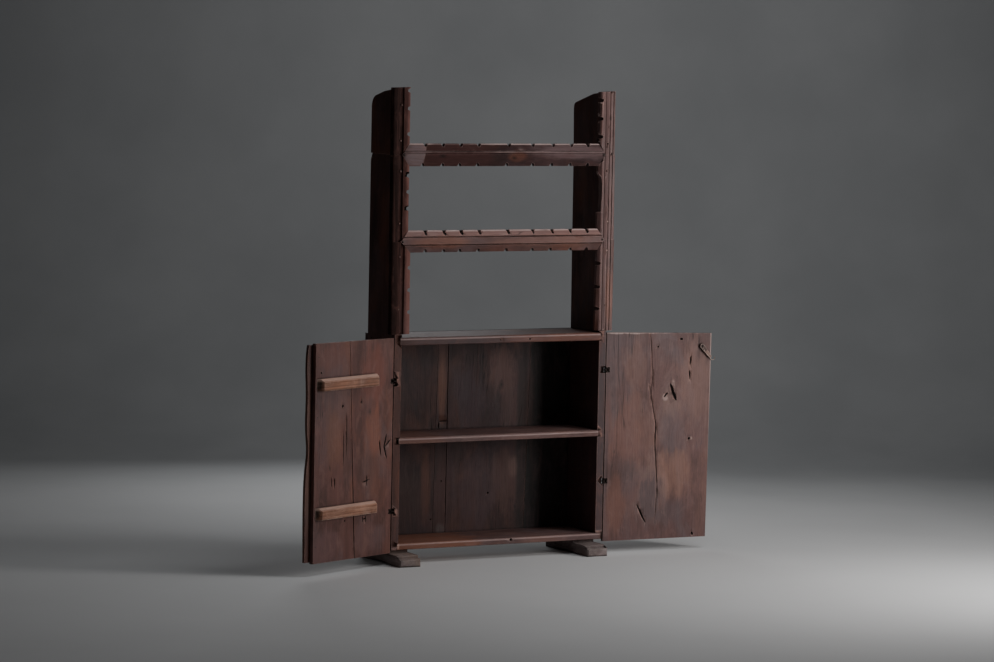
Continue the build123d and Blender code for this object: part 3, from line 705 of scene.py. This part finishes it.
def copy_of(node, name):
    """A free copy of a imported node's mesh, with its doubles merged and its flats whole again."""
    only(frame["nodes"][node])
    bpy.ops.object.duplicate()
    piece = bpy.context.object
    piece.parent = None
    piece.matrix_world = Matrix.Identity(4)
    piece.name = name
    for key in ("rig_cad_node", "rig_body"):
        if key in piece:
            del piece[key]
    with edit_mode():
        bpy.ops.mesh.remove_doubles(threshold=0.00002)
        bpy.ops.mesh.dissolve_limited(angle_limit=math.radians(0.6))
    return piece


def take_over(piece, node):
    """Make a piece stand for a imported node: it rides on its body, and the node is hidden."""
    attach(piece, frame["nodes"][node]["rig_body"])
    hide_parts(node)
    return piece

# %% [markdown]
# ## Boards with worn arrises
#
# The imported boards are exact, with knife-sharp arrises. Real ones are hewn: their faces ripple
# along the grain and their arrises are rubbed to uneven rounds. A voxel remesh would soften them,
# but it also steps across the grain. So a grid of bisects cuts each board into even cells, its
# arrises are bevelled by a width that varies along them, and its skin is let in by a slow noise,
# always inwards, so that it stays within the solid it stands for.

# %% Tools for boards
def cut_into_cells(piece, turned, cells):
    """Bisect a board along its own three directions, into cells of the given sizes."""
    axes = Euler(turned).to_matrix()
    only(piece)
    with edit_mode():
        for direction, size in zip(axes.transposed(), cells):
            if size is None:
                continue
            reach = [direction.dot(v.co) for v in piece.data.vertices]
            low, high = min(reach), max(reach)
            count = max(1, round((high - low) / size))
            for step in range(count):
                at = low + (step + 0.5) / count * (high - low)
                bpy.ops.mesh.select_all(action="SELECT")
                bpy.ops.mesh.bisect(plane_co=direction * at, plane_no=direction)


def round_arrises(piece, width, seed):
    """Bevel the arrises, by a width that a noise varies along them."""
    mesh = piece.data
    weights = mesh.attributes.new("bevel_weight_edge", "FLOAT", "EDGE")
    faces_of = {}
    for face in mesh.polygons:
        for key in face.edge_keys:
            faces_of.setdefault(key, []).append(face.normal)
    for edge in mesh.edges:
        normals = faces_of.get(tuple(sorted(edge.vertices)), [])
        if len(normals) == 2 and normals[0].dot(normals[1]) < 0.9:
            middle = (mesh.vertices[edge.vertices[0]].co + mesh.vertices[edge.vertices[1]].co) / 2
            spot = noise.noise(middle * 17 + Vector((seed, 0, 0)))
            weights.data[edge.index].value = min(1, max(0.25, 0.55 + 0.8 * spot))
    modify(piece, "BEVEL", limit_method="WEIGHT", width=width, segments=2)


def let_in_skin(piece, turned, depth, seed):
    """Let the surface in by a noise stretched along the grain, as an adze and a plane leave it."""
    back = Euler(turned).to_matrix().transposed()
    shift = Vector((seed * 3.1, seed * 1.7, seed * 0.9))
    mesh = piece.data
    normals = [v.normal.copy() for v in mesh.vertices]
    for vertex, normal in zip(mesh.vertices, normals):
        own = back @ vertex.co
        broad = noise.noise(Vector((own.x * 9, own.y * 9, own.z * 2.2)) + shift)
        fine = noise.noise(Vector((own.x * 42, own.y * 42, own.z * 9)) + shift)
        vertex.co -= normal * depth * min(1, max(0, 0.5 + 0.6 * broad + 0.35 * fine))

# %% [markdown]
# ## Cracks and nail holes
#
# Dry boards open along the grain, and every lost nail leaves a hole. A dark line in the material
# would do from afar, but a crack is read by the light on its two lips. So it is cut: a ball is
# stretched to a thin lens, with ends that run out to nothing as a crack's do, its skin is
# roughened, and a Boolean modifier takes it out of the board. The cut faces keep the lens's own
# material, which is nearly black: painted shade inside the cracks and holes. The Manifold solver
# takes all the lenses out at once, and gives the same mesh each time.

# %% Cutters
# Nearly black: painted shade for the faces inside cracks, holes and notches.
cut_shade = wood("cut_shade", upright, place_in_tree(60), look_of(
    (18, 12, 11), (30, 20, 17), (44, 30, 25), (34, 27, 26), (52, 32, 24), (70, 50, 44)), wear=0.0, dusty=0.0)


def cutter(start, end, width, depth, face, seed):
    """A rough lens from one point of a board's face to another, sunk by its depth."""
    along = end - start
    across = along.cross(face).normalized()
    facing = Matrix((across, along.cross(across).normalized(), along.normalized())).transposed().to_euler()
    bpy.ops.object.select_all(action="DESELECT")
    bpy.ops.mesh.primitive_uv_sphere_add(segments=8, ring_count=8, radius=0.5, location=(start + end) / 2,
                                         rotation=facing, scale=(width, 2 * depth, along.length))
    lens = bpy.context.object
    bpy.ops.object.transform_apply(location=True, rotation=True, scale=True)
    for vertex in lens.data.vertices:
        spot = vertex.co * 60 + Vector((seed, 0, 0))
        jog = Vector([noise.noise(spot + Vector((0, 0, far))) for far in (0, 31, 57)])
        vertex.co += jog * width * 0.28
    coat(lens, cut_shade)
    return lens


def cut_out(piece, lenses):
    """Take every lens out of a piece in one Boolean."""
    tray = bpy.data.collections.new(piece.name + "_cuts")
    bpy.context.scene.collection.children.link(tray)
    for lens in lenses:
        for home in list(lens.users_collection):
            home.objects.unlink(lens)
        tray.objects.link(lens)
    whole = len(piece.data.polygons)
    modify(piece, "BOOLEAN", operation="DIFFERENCE", solver="MANIFOLD", operand_type="COLLECTION",
           collection=tray, material_mode="TRANSFER")
    print(piece.name, "cut", len(lenses), "times:", whole, "faces became", len(piece.data.polygons))
    for lens in lenses:
        bpy.data.meshes.remove(lens.data)
    bpy.data.collections.remove(tray)


def board(node, turned, number, look, cells, arris=1.6 * MM, ripple=0.7 * MM, cuts=(),
          face=Vector((0, 1, 0)), **finish):
    """Dress one packed board. Cuts are (start, end, width, depth) on the face with that normal."""
    piece = copy_of(node, node + "_board")
    cut_into_cells(piece, turned, cells)
    round_arrises(piece, arris, number)
    let_in_skin(piece, turned, ripple, number)
    coat(piece, wood(node + "_wood", turned, place_in_tree(number), look, **finish))
    if cuts:
        cut_out(piece, [cutter(*cut, face, seed) for seed, cut in enumerate(cuts)])
    smoothed(piece, 40)
    return take_over(piece, node)


dressed = {}
BROAD = (0.012, None, 0.03)                 # cells of a wide board: across, through, along
EDGEWISE = (None, 0.012, 0.03)              # of a board that is seen from its side
SLIM = (0.010, 0.010, 0.02)
LONG = (None, None, 0.02)                   # of a moulding, which is only cut along its length

# %% [markdown]
# ## The case
#
# The case is two sides with three boards housed between them. The sides are in shadow and keep
# their smoke; the front edges of the three boards are rubbed, with a painted highlight along each
# top arris, and two have lost nails. The bottom board is a warm brown at the left. The stains
# could be painted by hand on each board, but rows of numbers can be read and moved: each row
# gives a middle, a size across and along the grain, a tone and a strength.

# %% Case boards
front_y = -25.6 * MM                        # of the case, in the shared frame
back_y = 216.4 * MM                         # where the back planks start


def on_front(x, z):
    """A point on the front edges of the case."""
    return on_case(x, z) + Vector((0, front_y, 0))


def on_back(x, z):
    """A point on the inside of the back planks."""
    return on_case(x, z) + Vector((0, back_y, 0))


def nail_hole(point, size=7, depth=9):
    """The cut that a lost nail leaves, as wide as it is high."""
    half = Vector((0, 0, size / 2 * MM))
    return (point - half, point + half, size * MM, depth * MM)


def stain_and_light_rows(place, *rows):
    """A board's stains, and on some boards painted highlights and shadows, from rows of middle, size across,
    size along, tone and strength.
    """
    return [(place(*middle), across, along, tone(*tint), strength)
            for middle, across, along, tint, strength in rows]


# Pale line along a top arris: rubbed wear, with a painted highlight where the arris catches the light.
pale_wear_and_highlight = (222, 192, 186)
case_boards = {
    "left_side": dict(turned=upright, look=heart, grimy=0.9, stains=stain_and_light_rows(
        on_case, ((-508, 500), 40, 700, (84, 52, 44), 0.5))),
    "right_side": dict(turned=upright, look=heart, stains=stain_and_light_rows(
        on_case, ((476, 480), 80, 800, (70, 57, 60), 0.8))),
    "left_side_top": dict(turned=upright, look=heart),
    "right_side_top": dict(turned=upright, look=heart),
    "top_board": dict(turned=along_x, look=heart, wear=0.4, stains=stain_and_light_rows(
        on_case, ((95, 913), 12, 110, (124, 88, 82), 0.6), ((-250, 915), 60, 300, (84, 68, 70), 0.6),
        ((0, 924), 4, 2000, pale_wear_and_highlight, 0.4)),
        cuts=[nail_hole(on_front(125, 913), 9), nail_hole(on_front(-15, 911), 6)]),
    "shelf": dict(turned=along_x, look=pale_door, wear=0.5, stains=stain_and_light_rows(
        on_case, ((-380, 508), 60, 160, (130, 88, 74), 0.5), ((0, 513), 4, 2000, pale_wear_and_highlight, 0.45))),
    "bottom_board": dict(turned=along_x, look=pale_door, wear=0.5, stains=stain_and_light_rows(
        on_case, ((-330, 72), 90, 330, (138, 86, 62), 0.8), ((0, 79), 4, 2000, pale_wear_and_highlight, 0.45)),
        cuts=[nail_hole(on_front(54, 76), 11)]),
}
for number, (node, dressing) in enumerate(case_boards.items()):
    dressed[node] = board(node, number=number, cells=EDGEWISE, **dressing)

# %% [markdown]
# ## The back planks
#
# Four planks are nailed upright across the back: a wide one, a narrow strip, and two more. Inside
# the cupboard they are dark with smoke, in hazes of brown and grey. The right one stands in deep
# shadow, and it and a band along the right edge of the middle one are painted nearly black as
# well: a painted shadow of the right side. Somebody once scored a small square into the strip,
# just above the shelf. They could be one panel with drawn lines, but real joints let the light in
# and show true edges.

# %% Back planks
square_mark = [(-170, 524), (-168, 553), (-130, 555), (-128, 524)]
strip_cuts = [nail_hole(on_back(-152, 302), 8)]
strip_cuts += [(on_back(*a), on_back(*b), 5 * MM, 6 * MM) for a, b in zip(square_mark, square_mark[1:])]
back_boards = {
    "back_plank_wide_left": dict(
        stains=stain_and_light_rows(
            on_case, ((-225, 290), 34, 190, (104, 66, 54), 0.7), ((-330, 700), 120, 230, (54, 41, 44), 0.6),
            ((-300, 240), 90, 150, (70, 48, 44), 0.5)),
        cuts=[nail_hole(on_back(-200, 143), 7)]),
    "back_plank_strip": dict(
        stains=stain_and_light_rows(
            on_case, ((-155, 690), 26, 190, (114, 76, 62), 0.85), ((-150, 250), 40, 260, (84, 54, 50), 0.6),
            ((-150, 95), 30, 40, (96, 82, 80), 0.8)),
        cuts=strip_cuts),
    "back_plank_middle": dict(
        stains=stain_and_light_rows(
            on_case, ((120, 750), 90, 130, (100, 70, 64), 0.75), ((-20, 640), 110, 160, (68, 52, 58), 0.6),
            ((165, 600), 50, 120, (86, 62, 58), 0.7), ((150, 300), 90, 170, (90, 62, 56), 0.75),
            ((190, 350), 34, 60, (112, 86, 78), 0.7), ((20, 250), 110, 200, (76, 56, 60), 0.55),
            # painted shadow of the right side, along the middle plank's right edge
            ((232, 500), 34, 900, (30, 20, 19), 0.75)),
        cuts=[nail_hole(on_back(74, 242), 10)],
        knots=[(on_case(128, 700), 13), (on_case(40, 820), 10), (on_case(205, 180), 9)]),
    # painted shadow of the right side, nearly black over the right plank
    "back_plank_right": dict(
        stains=stain_and_light_rows(
            on_case, ((350, 500), 190, 900, (15, 11, 10), 0.96), ((262, 640), 30, 200, (64, 42, 38), 0.6))),
}
for number, (node, dressing) in enumerate(back_boards.items(), 10):
    dressed[node] = board(node, upright, number, smoked, BROAD, rough=0.6, gloss=0.55, **dressing)
print("case and back:", len(dressed), "boards,", sum(len(b.data.polygons) for b in dressed.values()), "faces")

# %% [markdown]
# ## The runners
#
# The two runners are rough blocks that have stood on damp floors: their skin is grey, deeply
# pitted, and full of dust, and their noses are rounded by feet. A stronger bump would look the
# same from afar, but the outline would stay sharp, so the skin itself is let in further.

# %% Runners
for number, node in enumerate(["left_runner", "right_runner"], 16):
    dressed[node] = board(node, along_y, number, weathered, SLIM, arris=5 * MM, ripple=2.6 * MM,
                          rough=0.9, gloss=0.75, dusty=0.8, wear=0.3, ring=0.006)

# %% [markdown]
# ## The notched mouldings
#
# The hutch is framed with mouldings planed along their length and notched along both edges, with
# ends cut to points. Polish gathers on their ridges, and soot and painted shade darken their
# grooves and notches, so wear and grime are both strong here. The rails carry painted highlights
# on their top arrises, and the lower rail one on its upper bevel too. The left stile is the
# sootiest, and too dull to shine. The short piece spliced into the upper rail is greyer than the
# rest. The upper notches of the lower rail were cut once more, slantwise across its bevel, so they
# are cut again here.

# %% Stiles and rails
dull = dict(wear=0.12, gloss=0.7, sheen=0.1)
waxed = dict(wear=0.8, gloss=0.42, sheen=0.4)
waxed_rail = dict(wear=0.6, gloss=0.42, sheen=0.4)
smoky_rail = dict(wear=0.6, gloss=0.6, sheen=0.2)
left_stains = stain_and_light_rows(
    on_case, ((-520, 1450), 48, 1400, (36, 24, 22), 0.92), ((-478, 1450), 40, 1200, (64, 42, 38), 0.6),
    ((-430, 1450), 40, 1400, (150, 106, 98), 0.6))
right_stains = stain_and_light_rows(on_case, ((475, 1450), 60, 900, (128, 102, 100), 0.55))
warm_foot = stain_and_light_rows(on_case, ((500, 1080), 20, 160, (150, 92, 66), 0.5))
mouldings = {
    "left_stile_top": (upright, carved, dull, left_stains, []),
    "left_stile_middle": (upright, carved, dull, left_stains, []),
    "left_stile_bottom": (upright, carved, dull, left_stains, []),
    "right_stile_top": (upright, carved, waxed, right_stains, [(on_case(491, 1830), 7)]),
    "right_stile_middle": (upright, carved, waxed, right_stains, []),
    "right_stile_bottom": (upright, carved, waxed, right_stains + warm_foot, []),
    # (0, 1725) and (0, 1690): painted highlights on the top arris and on a thin ridge lower down
    "upper_rail": (along_x, dark_rail, smoky_rail, stain_and_light_rows(
        on_case, ((0, 1725), 9, 2000, pale_wear_and_highlight, 0.9), ((0, 1690), 4, 2000, pale_wear_and_highlight, 0.4),
        ((-230, 1676), 90, 190, (70, 38, 35), 0.85), ((330, 1690), 40, 260, (132, 108, 108), 0.6),
        ((50, 1672), 30, 60, (104, 62, 46), 0.8)),
        [(on_case(-300, 1672), 10), (on_case(36, 1664), 9)]),
    # (0, 1725): painted highlight on the top arris
    "upper_rail_splice": (along_x, carved, waxed_rail, stain_and_light_rows(
        on_case, ((-415, 1676), 70, 90, (120, 98, 100), 0.85), ((0, 1725), 9, 2000, pale_wear_and_highlight, 0.9)), []),
    # (0, 1368) and (0, 1370): painted highlight on the upper bevel and its arris
    "lower_rail": (along_x, carved, waxed_rail, stain_and_light_rows(
        on_case, ((0, 1368), 36, 2000, (164, 124, 116), 0.75), ((0, 1370), 9, 2000, pale_wear_and_highlight, 0.85),
        ((-300, 1318), 34, 160, (136, 82, 60), 0.7), ((130, 1318), 22, 300, (124, 76, 62), 0.6)), []),
}
notch_middles = (-370, -284, -204, -119, 15, 133, 225, 312, 392)
notch_width, notch_depth = 15 * MM, 11 * MM
slant_cuts = [
    (Vector((x - 4, -19, 1373)) * MM, Vector((x + 3, -26, 1350)) * MM, notch_width, notch_depth)
    for x in notch_middles]
for number, (node, (turned, look, surface, stains, knots)) in enumerate(mouldings.items(), 20):
    dressed[node] = board(node, turned, number, look, LONG, arris=1.1 * MM, ripple=0.6 * MM, edge=3.5,
                          grimy=1.0, stains=stains, knots=knots, face=Vector((0, -1, 0)) * MM,
                          cuts=slant_cuts if node == "lower_rail" else (), **surface)
print("mouldings:", len(mouldings))

# %% [markdown]
# ## Blind ends of the notches
#
# The lower rail's upper notches were cut from the front and stop short of the back, so no light
# comes through and they look black. The imported rail has them cut through. A block at the back of
# each closes it, with soft arrises like the rest, coloured nearly black as painted shade.

# %% Blind ends
def join_pieces(parts, name):
    """Join meshes into one piece whose object sits at the origin."""
    bpy.ops.object.select_all(action="DESELECT")
    for part in parts:
        part.select_set(True)
    bpy.context.view_layer.objects.active = parts[0]
    bpy.ops.object.join()
    piece = bpy.context.object
    bpy.ops.object.transform_apply(location=True, rotation=True, scale=True)
    piece.name = name
    return piece


def shade_block(place, size, arris, turned=0.0):
    """A block in the painted shade of the cuts, with soft arrises; its size is in millimetres."""
    bpy.ops.object.select_all(action="DESELECT")
    bpy.ops.mesh.primitive_cube_add(size=1, location=place, rotation=(0, 0, turned),
                                    scale=[side * MM for side in size])
    block = bpy.context.object
    with edit_mode():
        bpy.ops.mesh.bevel(offset=arris, segments=2)
    coat(block, cut_shade)
    return block


blind_size = (20, 8, 11)                    # mm: wide, deep and high
blind_y, blind_z = -2 * MM, 1361 * MM
blind_ends = [shade_block((x * MM, blind_y, blind_z), blind_size, 1.5 * MM) for x in notch_middles]
dressed["lower_rail"] = join_pieces([dressed["lower_rail"]] + blind_ends, "lower_rail_board")
print("blind ends:", len(blind_ends))

# %% [markdown]
# ## The left door
#
# Two wide planks lie side by side. A split by the hinge edge has opened into branches, and there
# are scribed marks and nail holes. The joint between the planks has opened a little too: it is
# cut as two long, thin cracks end to end. Each crack is a row of start, end and width, in
# millimetres from the hinge and from the floor.

# %% Left door
left_into = Vector((-math.sin(left_turn), math.cos(left_turn), 0)) * -1.0 * MM


def on_left(along, z):
    """A point on the inner face of the left door."""
    return on_door("left", along, z) + left_into


def crack_on(place, a, b, width, depth=8, overrun=0.0):
    """A cut between two points of a door, in millimetres from its hinge and from the floor."""
    start, end = place(*a), place(*b)
    past = (end - start) * overrun
    return (start - past, end + past, width * MM, depth * MM)


hinge_plank_cracks = [
    ((87, 520), (72, 452), 7), ((40, 544), (57, 482), 8), ((57, 498), (36, 440), 8),
    ((54, 488), (12, 518), 5), ((192, 356), (144, 364), 5), ((166, 384), (162, 338), 5),
    ((188, 220), (184, 192), 5), ((170, 223), (166, 189), 5), ((190, 204), (164, 208), 5),
]
free_plank_cracks = [
    ((390, 392), (387, 352), 5), ((372, 388), (370, 346), 5), ((300, 650), (296, 470), 3.5),
    ((318, 570), (316, 430), 3.5), ((286, 990), (256, 430), 5), ((266, 600), (232, -20), 5),
]
hinge_plank_cuts = [crack_on(on_left, *crack) for crack in hinge_plank_cracks]
hinge_plank_cuts += [nail_hole(on_left(206, 684), 8)]
free_plank_cuts = [crack_on(on_left, *crack) for crack in free_plank_cracks]
free_plank_cuts += [
    nail_hole(on_left(324, 675), 11), nail_hole(on_left(464, 817), 8), nail_hole(on_left(300, 209), 8)]
dressed["left_door_plank_hinge"] = board(
    "left_door_plank_hinge", on_left_door, 40, door, BROAD, cuts=hinge_plank_cuts, face=left_into, wear=0.3,
    stains=stain_and_light_rows(
        on_left, ((120, 780), 110, 160, (134, 76, 62), 0.6), ((120, 560), 70, 120, (148, 90, 68), 0.55),
        ((170, 130), 90, 110, (112, 78, 74), 0.7), ((150, 400), 60, 100, (98, 68, 62), 0.5)),
    knots=[(on_left(150, 640), 9), (on_left(206, 684), 8)])
dressed["left_door_plank_free"] = board(
    "left_door_plank_free", on_left_door, 41, door, BROAD, cuts=free_plank_cuts, face=left_into, wear=0.3,
    stains=stain_and_light_rows(
        on_left, ((400, 870), 120, 60, (112, 70, 62), 0.6), ((380, 560), 60, 170, (128, 84, 66), 0.6),
        ((420, 120), 110, 90, (112, 78, 76), 0.7), ((300, 480), 26, 200, (84, 54, 48), 0.6)),
    knots=[(on_left(324, 675), 9)])

# %% [markdown]
# ## Battens and overlap strip
#
# Two battens across the inner face hold the planks together. They are a younger, orange wood with
# dark lines of late wood. A painted highlight lies along the bevel above, painted shade along the
# arris below, and a painted shadow on the end at the free edge. A strip nailed outside the free
# edge covers the joint with the other door. The long lines could be left to the noise of the
# figure, but on so slim a piece their place is what the eye reads.

# %% Battens and overlap strip
dressed["left_door_overlap_strip"] = board(
    "left_door_overlap_strip", on_left_door, 43, heart, SLIM, wear=1.0,
    stains=stain_and_light_rows(on_left, ((500, 500), 60, 420, (104, 74, 62), 0.7)))
batten_middles = {"left_door_upper_batten": 770, "left_door_lower_batten": 252}
for number, (node, z) in enumerate(batten_middles.items(), 45):
    dressed[node] = board(
        node, across_left_door, number, batten, SLIM, arris=2 * MM, ripple=0.9 * MM, wear=0.45, ring=0.004,
        rough=0.55, stains=stain_and_light_rows(
            on_left, ((300, z + 7), 3, 900, (112, 68, 48), 0.6), ((300, z - 9), 2.5, 900, (104, 62, 44), 0.6),
            # (492, z): painted shadow on the free end; (300, z + 25): painted highlight on the upper bevel;
            # (300, z - 24): painted shade under the lower arris
            ((492, z), 60, 20, (20, 14, 12), 0.9), ((300, z + 25), 15, 900, (222, 184, 168), 0.75),
            ((300, z - 24), 9, 900, (96, 58, 40), 0.7)))

# %% [markdown]
# ## The right door
#
# One very wide plank, with a long split that runs nearly its whole height, a knot that has
# dropped half out, and short cracks. Water has left a grey stain at its foot, with a pale tide
# mark, beside a warm patch, and the top and free edges are rubbed pale. The split is a chain of
# lenses that overlap, so that its width changes along it as a real one's does.

# %% Right door
right_out = Vector((-math.sin(right_turn), math.cos(right_turn), 0)) * -1.0 * MM


def on_right(along, z):
    """A point on the inner face of the right door."""
    return on_door("right", along, z) - right_out


split_line = [(209, 927), (223, 748), (216, 663), (243, 534), (241, 449), (255, 278), (250, 180)]
split_widths = (2, 2.2, 3, 5, 4, 2.2)
right_cuts = [
    crack_on(on_right, high, low, width, 6, 0.35)
    for high, low, width in zip(split_line, split_line[1:], split_widths)]
right_cracks = [
    ((306, 712), (338, 636), 14, 10), ((296, 672), (278, 652), 9, 5), ((404, 828), (401, 788), 6.5),
    ((397, 766), (401, 726), 6.5), ((158, 200), (204, 118), 8),
]
right_nails = [(356, 898, 13), (429, 66, 12), (403, 474, 11), (245, 868, 8)]
right_cuts += [crack_on(on_right, *crack) for crack in right_cracks]
right_cuts += [nail_hole(on_right(along, z), size) for along, z, size in right_nails]
free_edge = (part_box("right_door_plank")[1][0] - right_hinge.x) / math.cos(right_turn) / MM
grey_damp = (88, 72, 74)
rubbed_edge = (206, 178, 170)
dressed["right_door_plank"] = board(
    "right_door_plank", on_right_door, 48, pale_door, BROAD, cuts=right_cuts, face=right_out, wear=0.3,
    stains=stain_and_light_rows(
        on_right, ((110, 500), 90, 190, (134, 90, 78), 0.55), ((140, 790), 90, 110, (130, 94, 84), 0.5),
        ((330, 330), 100, 140, (146, 104, 88), 0.6), ((420, 700), 110, 220, (132, 98, 88), 0.6),
        ((230, 250), 100, 170, (160, 124, 112), 0.5), ((222, 225), 84, 150, grey_damp, 0.85),
        ((320, 160), 90, 70, grey_damp, 0.6), ((290, 880), 70, 26, (96, 72, 70), 0.6),
        ((310, 640), 60, 90, (138, 108, 98), 0.5), ((284, 652), 18, 20, (186, 158, 150), 0.7),
        ((322, 700), 12, 34, (176, 146, 136), 0.6), ((250, 931), 900, 9, rubbed_edge, 0.8),
        ((412, 474), 9, 9, (190, 160, 150), 0.7), ((free_edge, 500), 8, 2000, rubbed_edge, 0.75),
        ((60, 200), 60, 180, (128, 84, 70), 0.5)),
    knots=[(on_right(403, 474), 12), (on_right(318, 672), 26), (on_right(245, 868), 9),
           (on_right(356, 898), 9)])

# %% [markdown]
# ## Thin wood behind the hinge notches
#
# The notches that clear the hinges stop just short of each door's outer face, so they look dark
# from inside. The imported doors have them cut through. A thin skin, nearly black with painted
# shade, closes each one, clear of the case at both ends of the door's swing.

# %% Hinge notches
hinge_levels = {"left": (755, 220), "right": (774, 304)}
skin_size = (18.8, 2.4, 23)                 # mm: along the door, through it, and up
skin_middle = 9.6                           # mm from the hinge
skin_depths = {"left": left_into * 17.2, "right": right_out * -16.2}
notched_doors = (
    ("left", "left_door_plank_hinge", left_turn),
    ("right", "right_door_plank", right_turn),
)
for side, node, turned in notched_doors:
    skins = [
        shade_block(on_door(side, skin_middle, level) + skin_depths[side], skin_size, 0.6 * MM, turned)
        for level in hinge_levels[side]]
    dressed[node] = join_pieces([dressed[node]] + skins, node + "_board")
print("doors dressed, boards so far:", len(dressed))

# %% [markdown]
# ## The hinge eyes
#
# Each hinge is two loops of iron wire, one through the other like links of a chain, with the
# ends of each loop driven into the wood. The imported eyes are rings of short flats. Here each is
# a torus with the hammer's dents in it, and two legs laid side by side for its tail, cut from a
# cylinder and drawn to a point.

# %% Hinges
eye_radius, eye_wire = 8 * MM, 1.9 * MM
leg_length = 26 * MM
fixed_inset = 3.4 * MM                      # pivot to the middle of the fixed eye


def dented(piece, depth, scale):
    """Knock a piece's skin in here and there, as a hammer does."""
    normals = [v.normal.copy() for v in piece.data.vertices]
    for vertex, normal in zip(piece.data.vertices, normals):
        vertex.co -= normal * depth * max(0, 0.4 + noise.noise(vertex.co * scale))


def wire_eye(centre, ring_axis, tail):
    """One eye: a ring round an axis, and two legs that leave it along the tail."""
    bpy.ops.object.select_all(action="DESELECT")
    bpy.ops.mesh.primitive_torus_add(major_segments=28, minor_segments=10, major_radius=eye_radius,
                                     minor_radius=eye_wire, location=centre,
                                     rotation=ring_axis.to_track_quat("Z", "Y").to_euler())
    parts = [bpy.context.object]
    beside = ring_axis.cross(tail).normalized()
    for offset in (-0.9 * MM, 0.9 * MM):
        middle = centre + tail * (eye_radius + leg_length / 2 - eye_wire) + beside * offset
        bpy.ops.mesh.primitive_cone_add(vertices=10, radius1=1.1 * MM, radius2=0.6 * MM, depth=leg_length,
                                        location=middle, rotation=tail.to_track_quat("Z", "Y").to_euler())
        parts.append(bpy.context.object)
    return parts


def level_direction(degrees):
    """A level direction, by its angle from +X."""
    return Vector((math.cos(math.radians(degrees)), math.sin(math.radians(degrees)), 0))


leg_lean = 15                               # degrees, between a door and the legs of its eyes
tails = {
    ("left", "case"): level_direction(45), ("right", "case"): level_direction(135),
    ("left", "door"): level_direction(left_angle - leg_lean),
    ("right", "door"): level_direction(right_angle + leg_lean),
}
hinge_at = {"left": left_hinge, "right": right_hinge}
up_axis = Vector((0, 0, 1))
for (side, part), tail in tails.items():
    parts = []
    for level in hinge_levels[side]:
        pivot = hinge_at[side] + up_axis * level * MM
        if part == "case":
            parts += wire_eye(pivot + tail * fixed_inset, up_axis, tail)
        else:
            parts += wire_eye(pivot + tail * eye_radius, up_axis.cross(tail), tail)
    node = f"{side}_hinge_{part}_eyes"
    eyes = join_pieces(parts, node + "_forged")
    dented(eyes, 0.35 * MM, 420)
    coat(eyes, forged)
    smoothed(eyes, 60)
    dressed[node] = take_over(eyes, node)

# %% [markdown]
# ## Nails and pegs
#
# Nails are cut from square rod and their heads struck by hand, so no two are alike. The packed
# heads are small pyramids: their arrises are bevelled, each face is divided, and a noise knocks
# them in. The pegs are whittled and swollen in their holes. New heads could be modelled one by
# one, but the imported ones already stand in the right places.

# %% Nails and pegs
def struck(node, material, width, depth, angle=35):
    """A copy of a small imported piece, with soft arrises and dents."""
    piece = copy_of(node, node + "_worked")
    modify(piece, "BEVEL", width=width, segments=2)
    with edit_mode():
        bpy.ops.mesh.subdivide(number_cuts=1)
    dented(piece, depth, 700)
    coat(piece, material)
    smoothed(piece, angle)
    return take_over(piece, node)


for node in [name for name in frame["nodes"] if name.endswith("_nails")]:
    dressed[node] = struck(node, forged, 0.5 * MM, 0.3 * MM)

dark_peg = look_of(
    (62, 38, 34), (98, 64, 56), (130, 96, 86), (112, 90, 88), (120, 78, 60), (160, 124, 114))
pale_pegs = stain_and_light_rows(on_case, ((486, 1340), 60, 180, (206, 172, 160), 0.95))
peg_wood = wood("peg_wood", upright, place_in_tree(50), dark_peg, wear=0.7, grimy=0.6, stains=pale_pegs)
for side in ("left", "right"):
    dressed[f"{side}_stile_pegs"] = struck(f"{side}_stile_pegs", peg_wood, 0.9 * MM, 0.4 * MM)
    coat(frame["nodes"][f"{side}_side_dowels"], peg_wood)

# %% [markdown]
# ## The turn button
#
# The button is a lump of pale wood, worn round by fingers and darkened round its pin, with a bent
# wire in its tip. It is a small board like the others, only cut into finer cells.

# %% Turn button
button_look = look_of(
    (92, 66, 58), (142, 114, 102), (182, 154, 142), (140, 120, 116), (150, 114, 98), (214, 190, 180))
button_lean = (0, math.radians(90 + 49), right_turn)
dressed["turn_button"] = board(
    "turn_button", button_lean, 52, button_look, (0.003, 0.003, 0.004), arris=2.2 * MM, ripple=1.0 * MM,
    wear=0.9, ring=0.003, stains=[(on_door("right", 458, 862), 24, 30, tone(52, 32, 28), 0.9)])
dressed["turn_button_pin"] = struck("turn_button_pin", forged, 0.4 * MM, 0.2 * MM)
dressed["turn_button_hook"] = struck("turn_button_hook", bare_wire, 0.2 * MM, 0.15 * MM, angle=60)

# %% [markdown]
# ## The count
#
# A dressed model that has lost a piece is no use to whoever builds on it. So the pieces are
# counted, and what is still shown undressed is named.

# %% Count
total = sum(len(piece.data.polygons) for piece in dressed.values())
left_plain = [name for name, node in frame["nodes"].items() if not node.hide_render]
print("pieces:", len(dressed), "faces:", total, "packed nodes still shown:", left_plain)
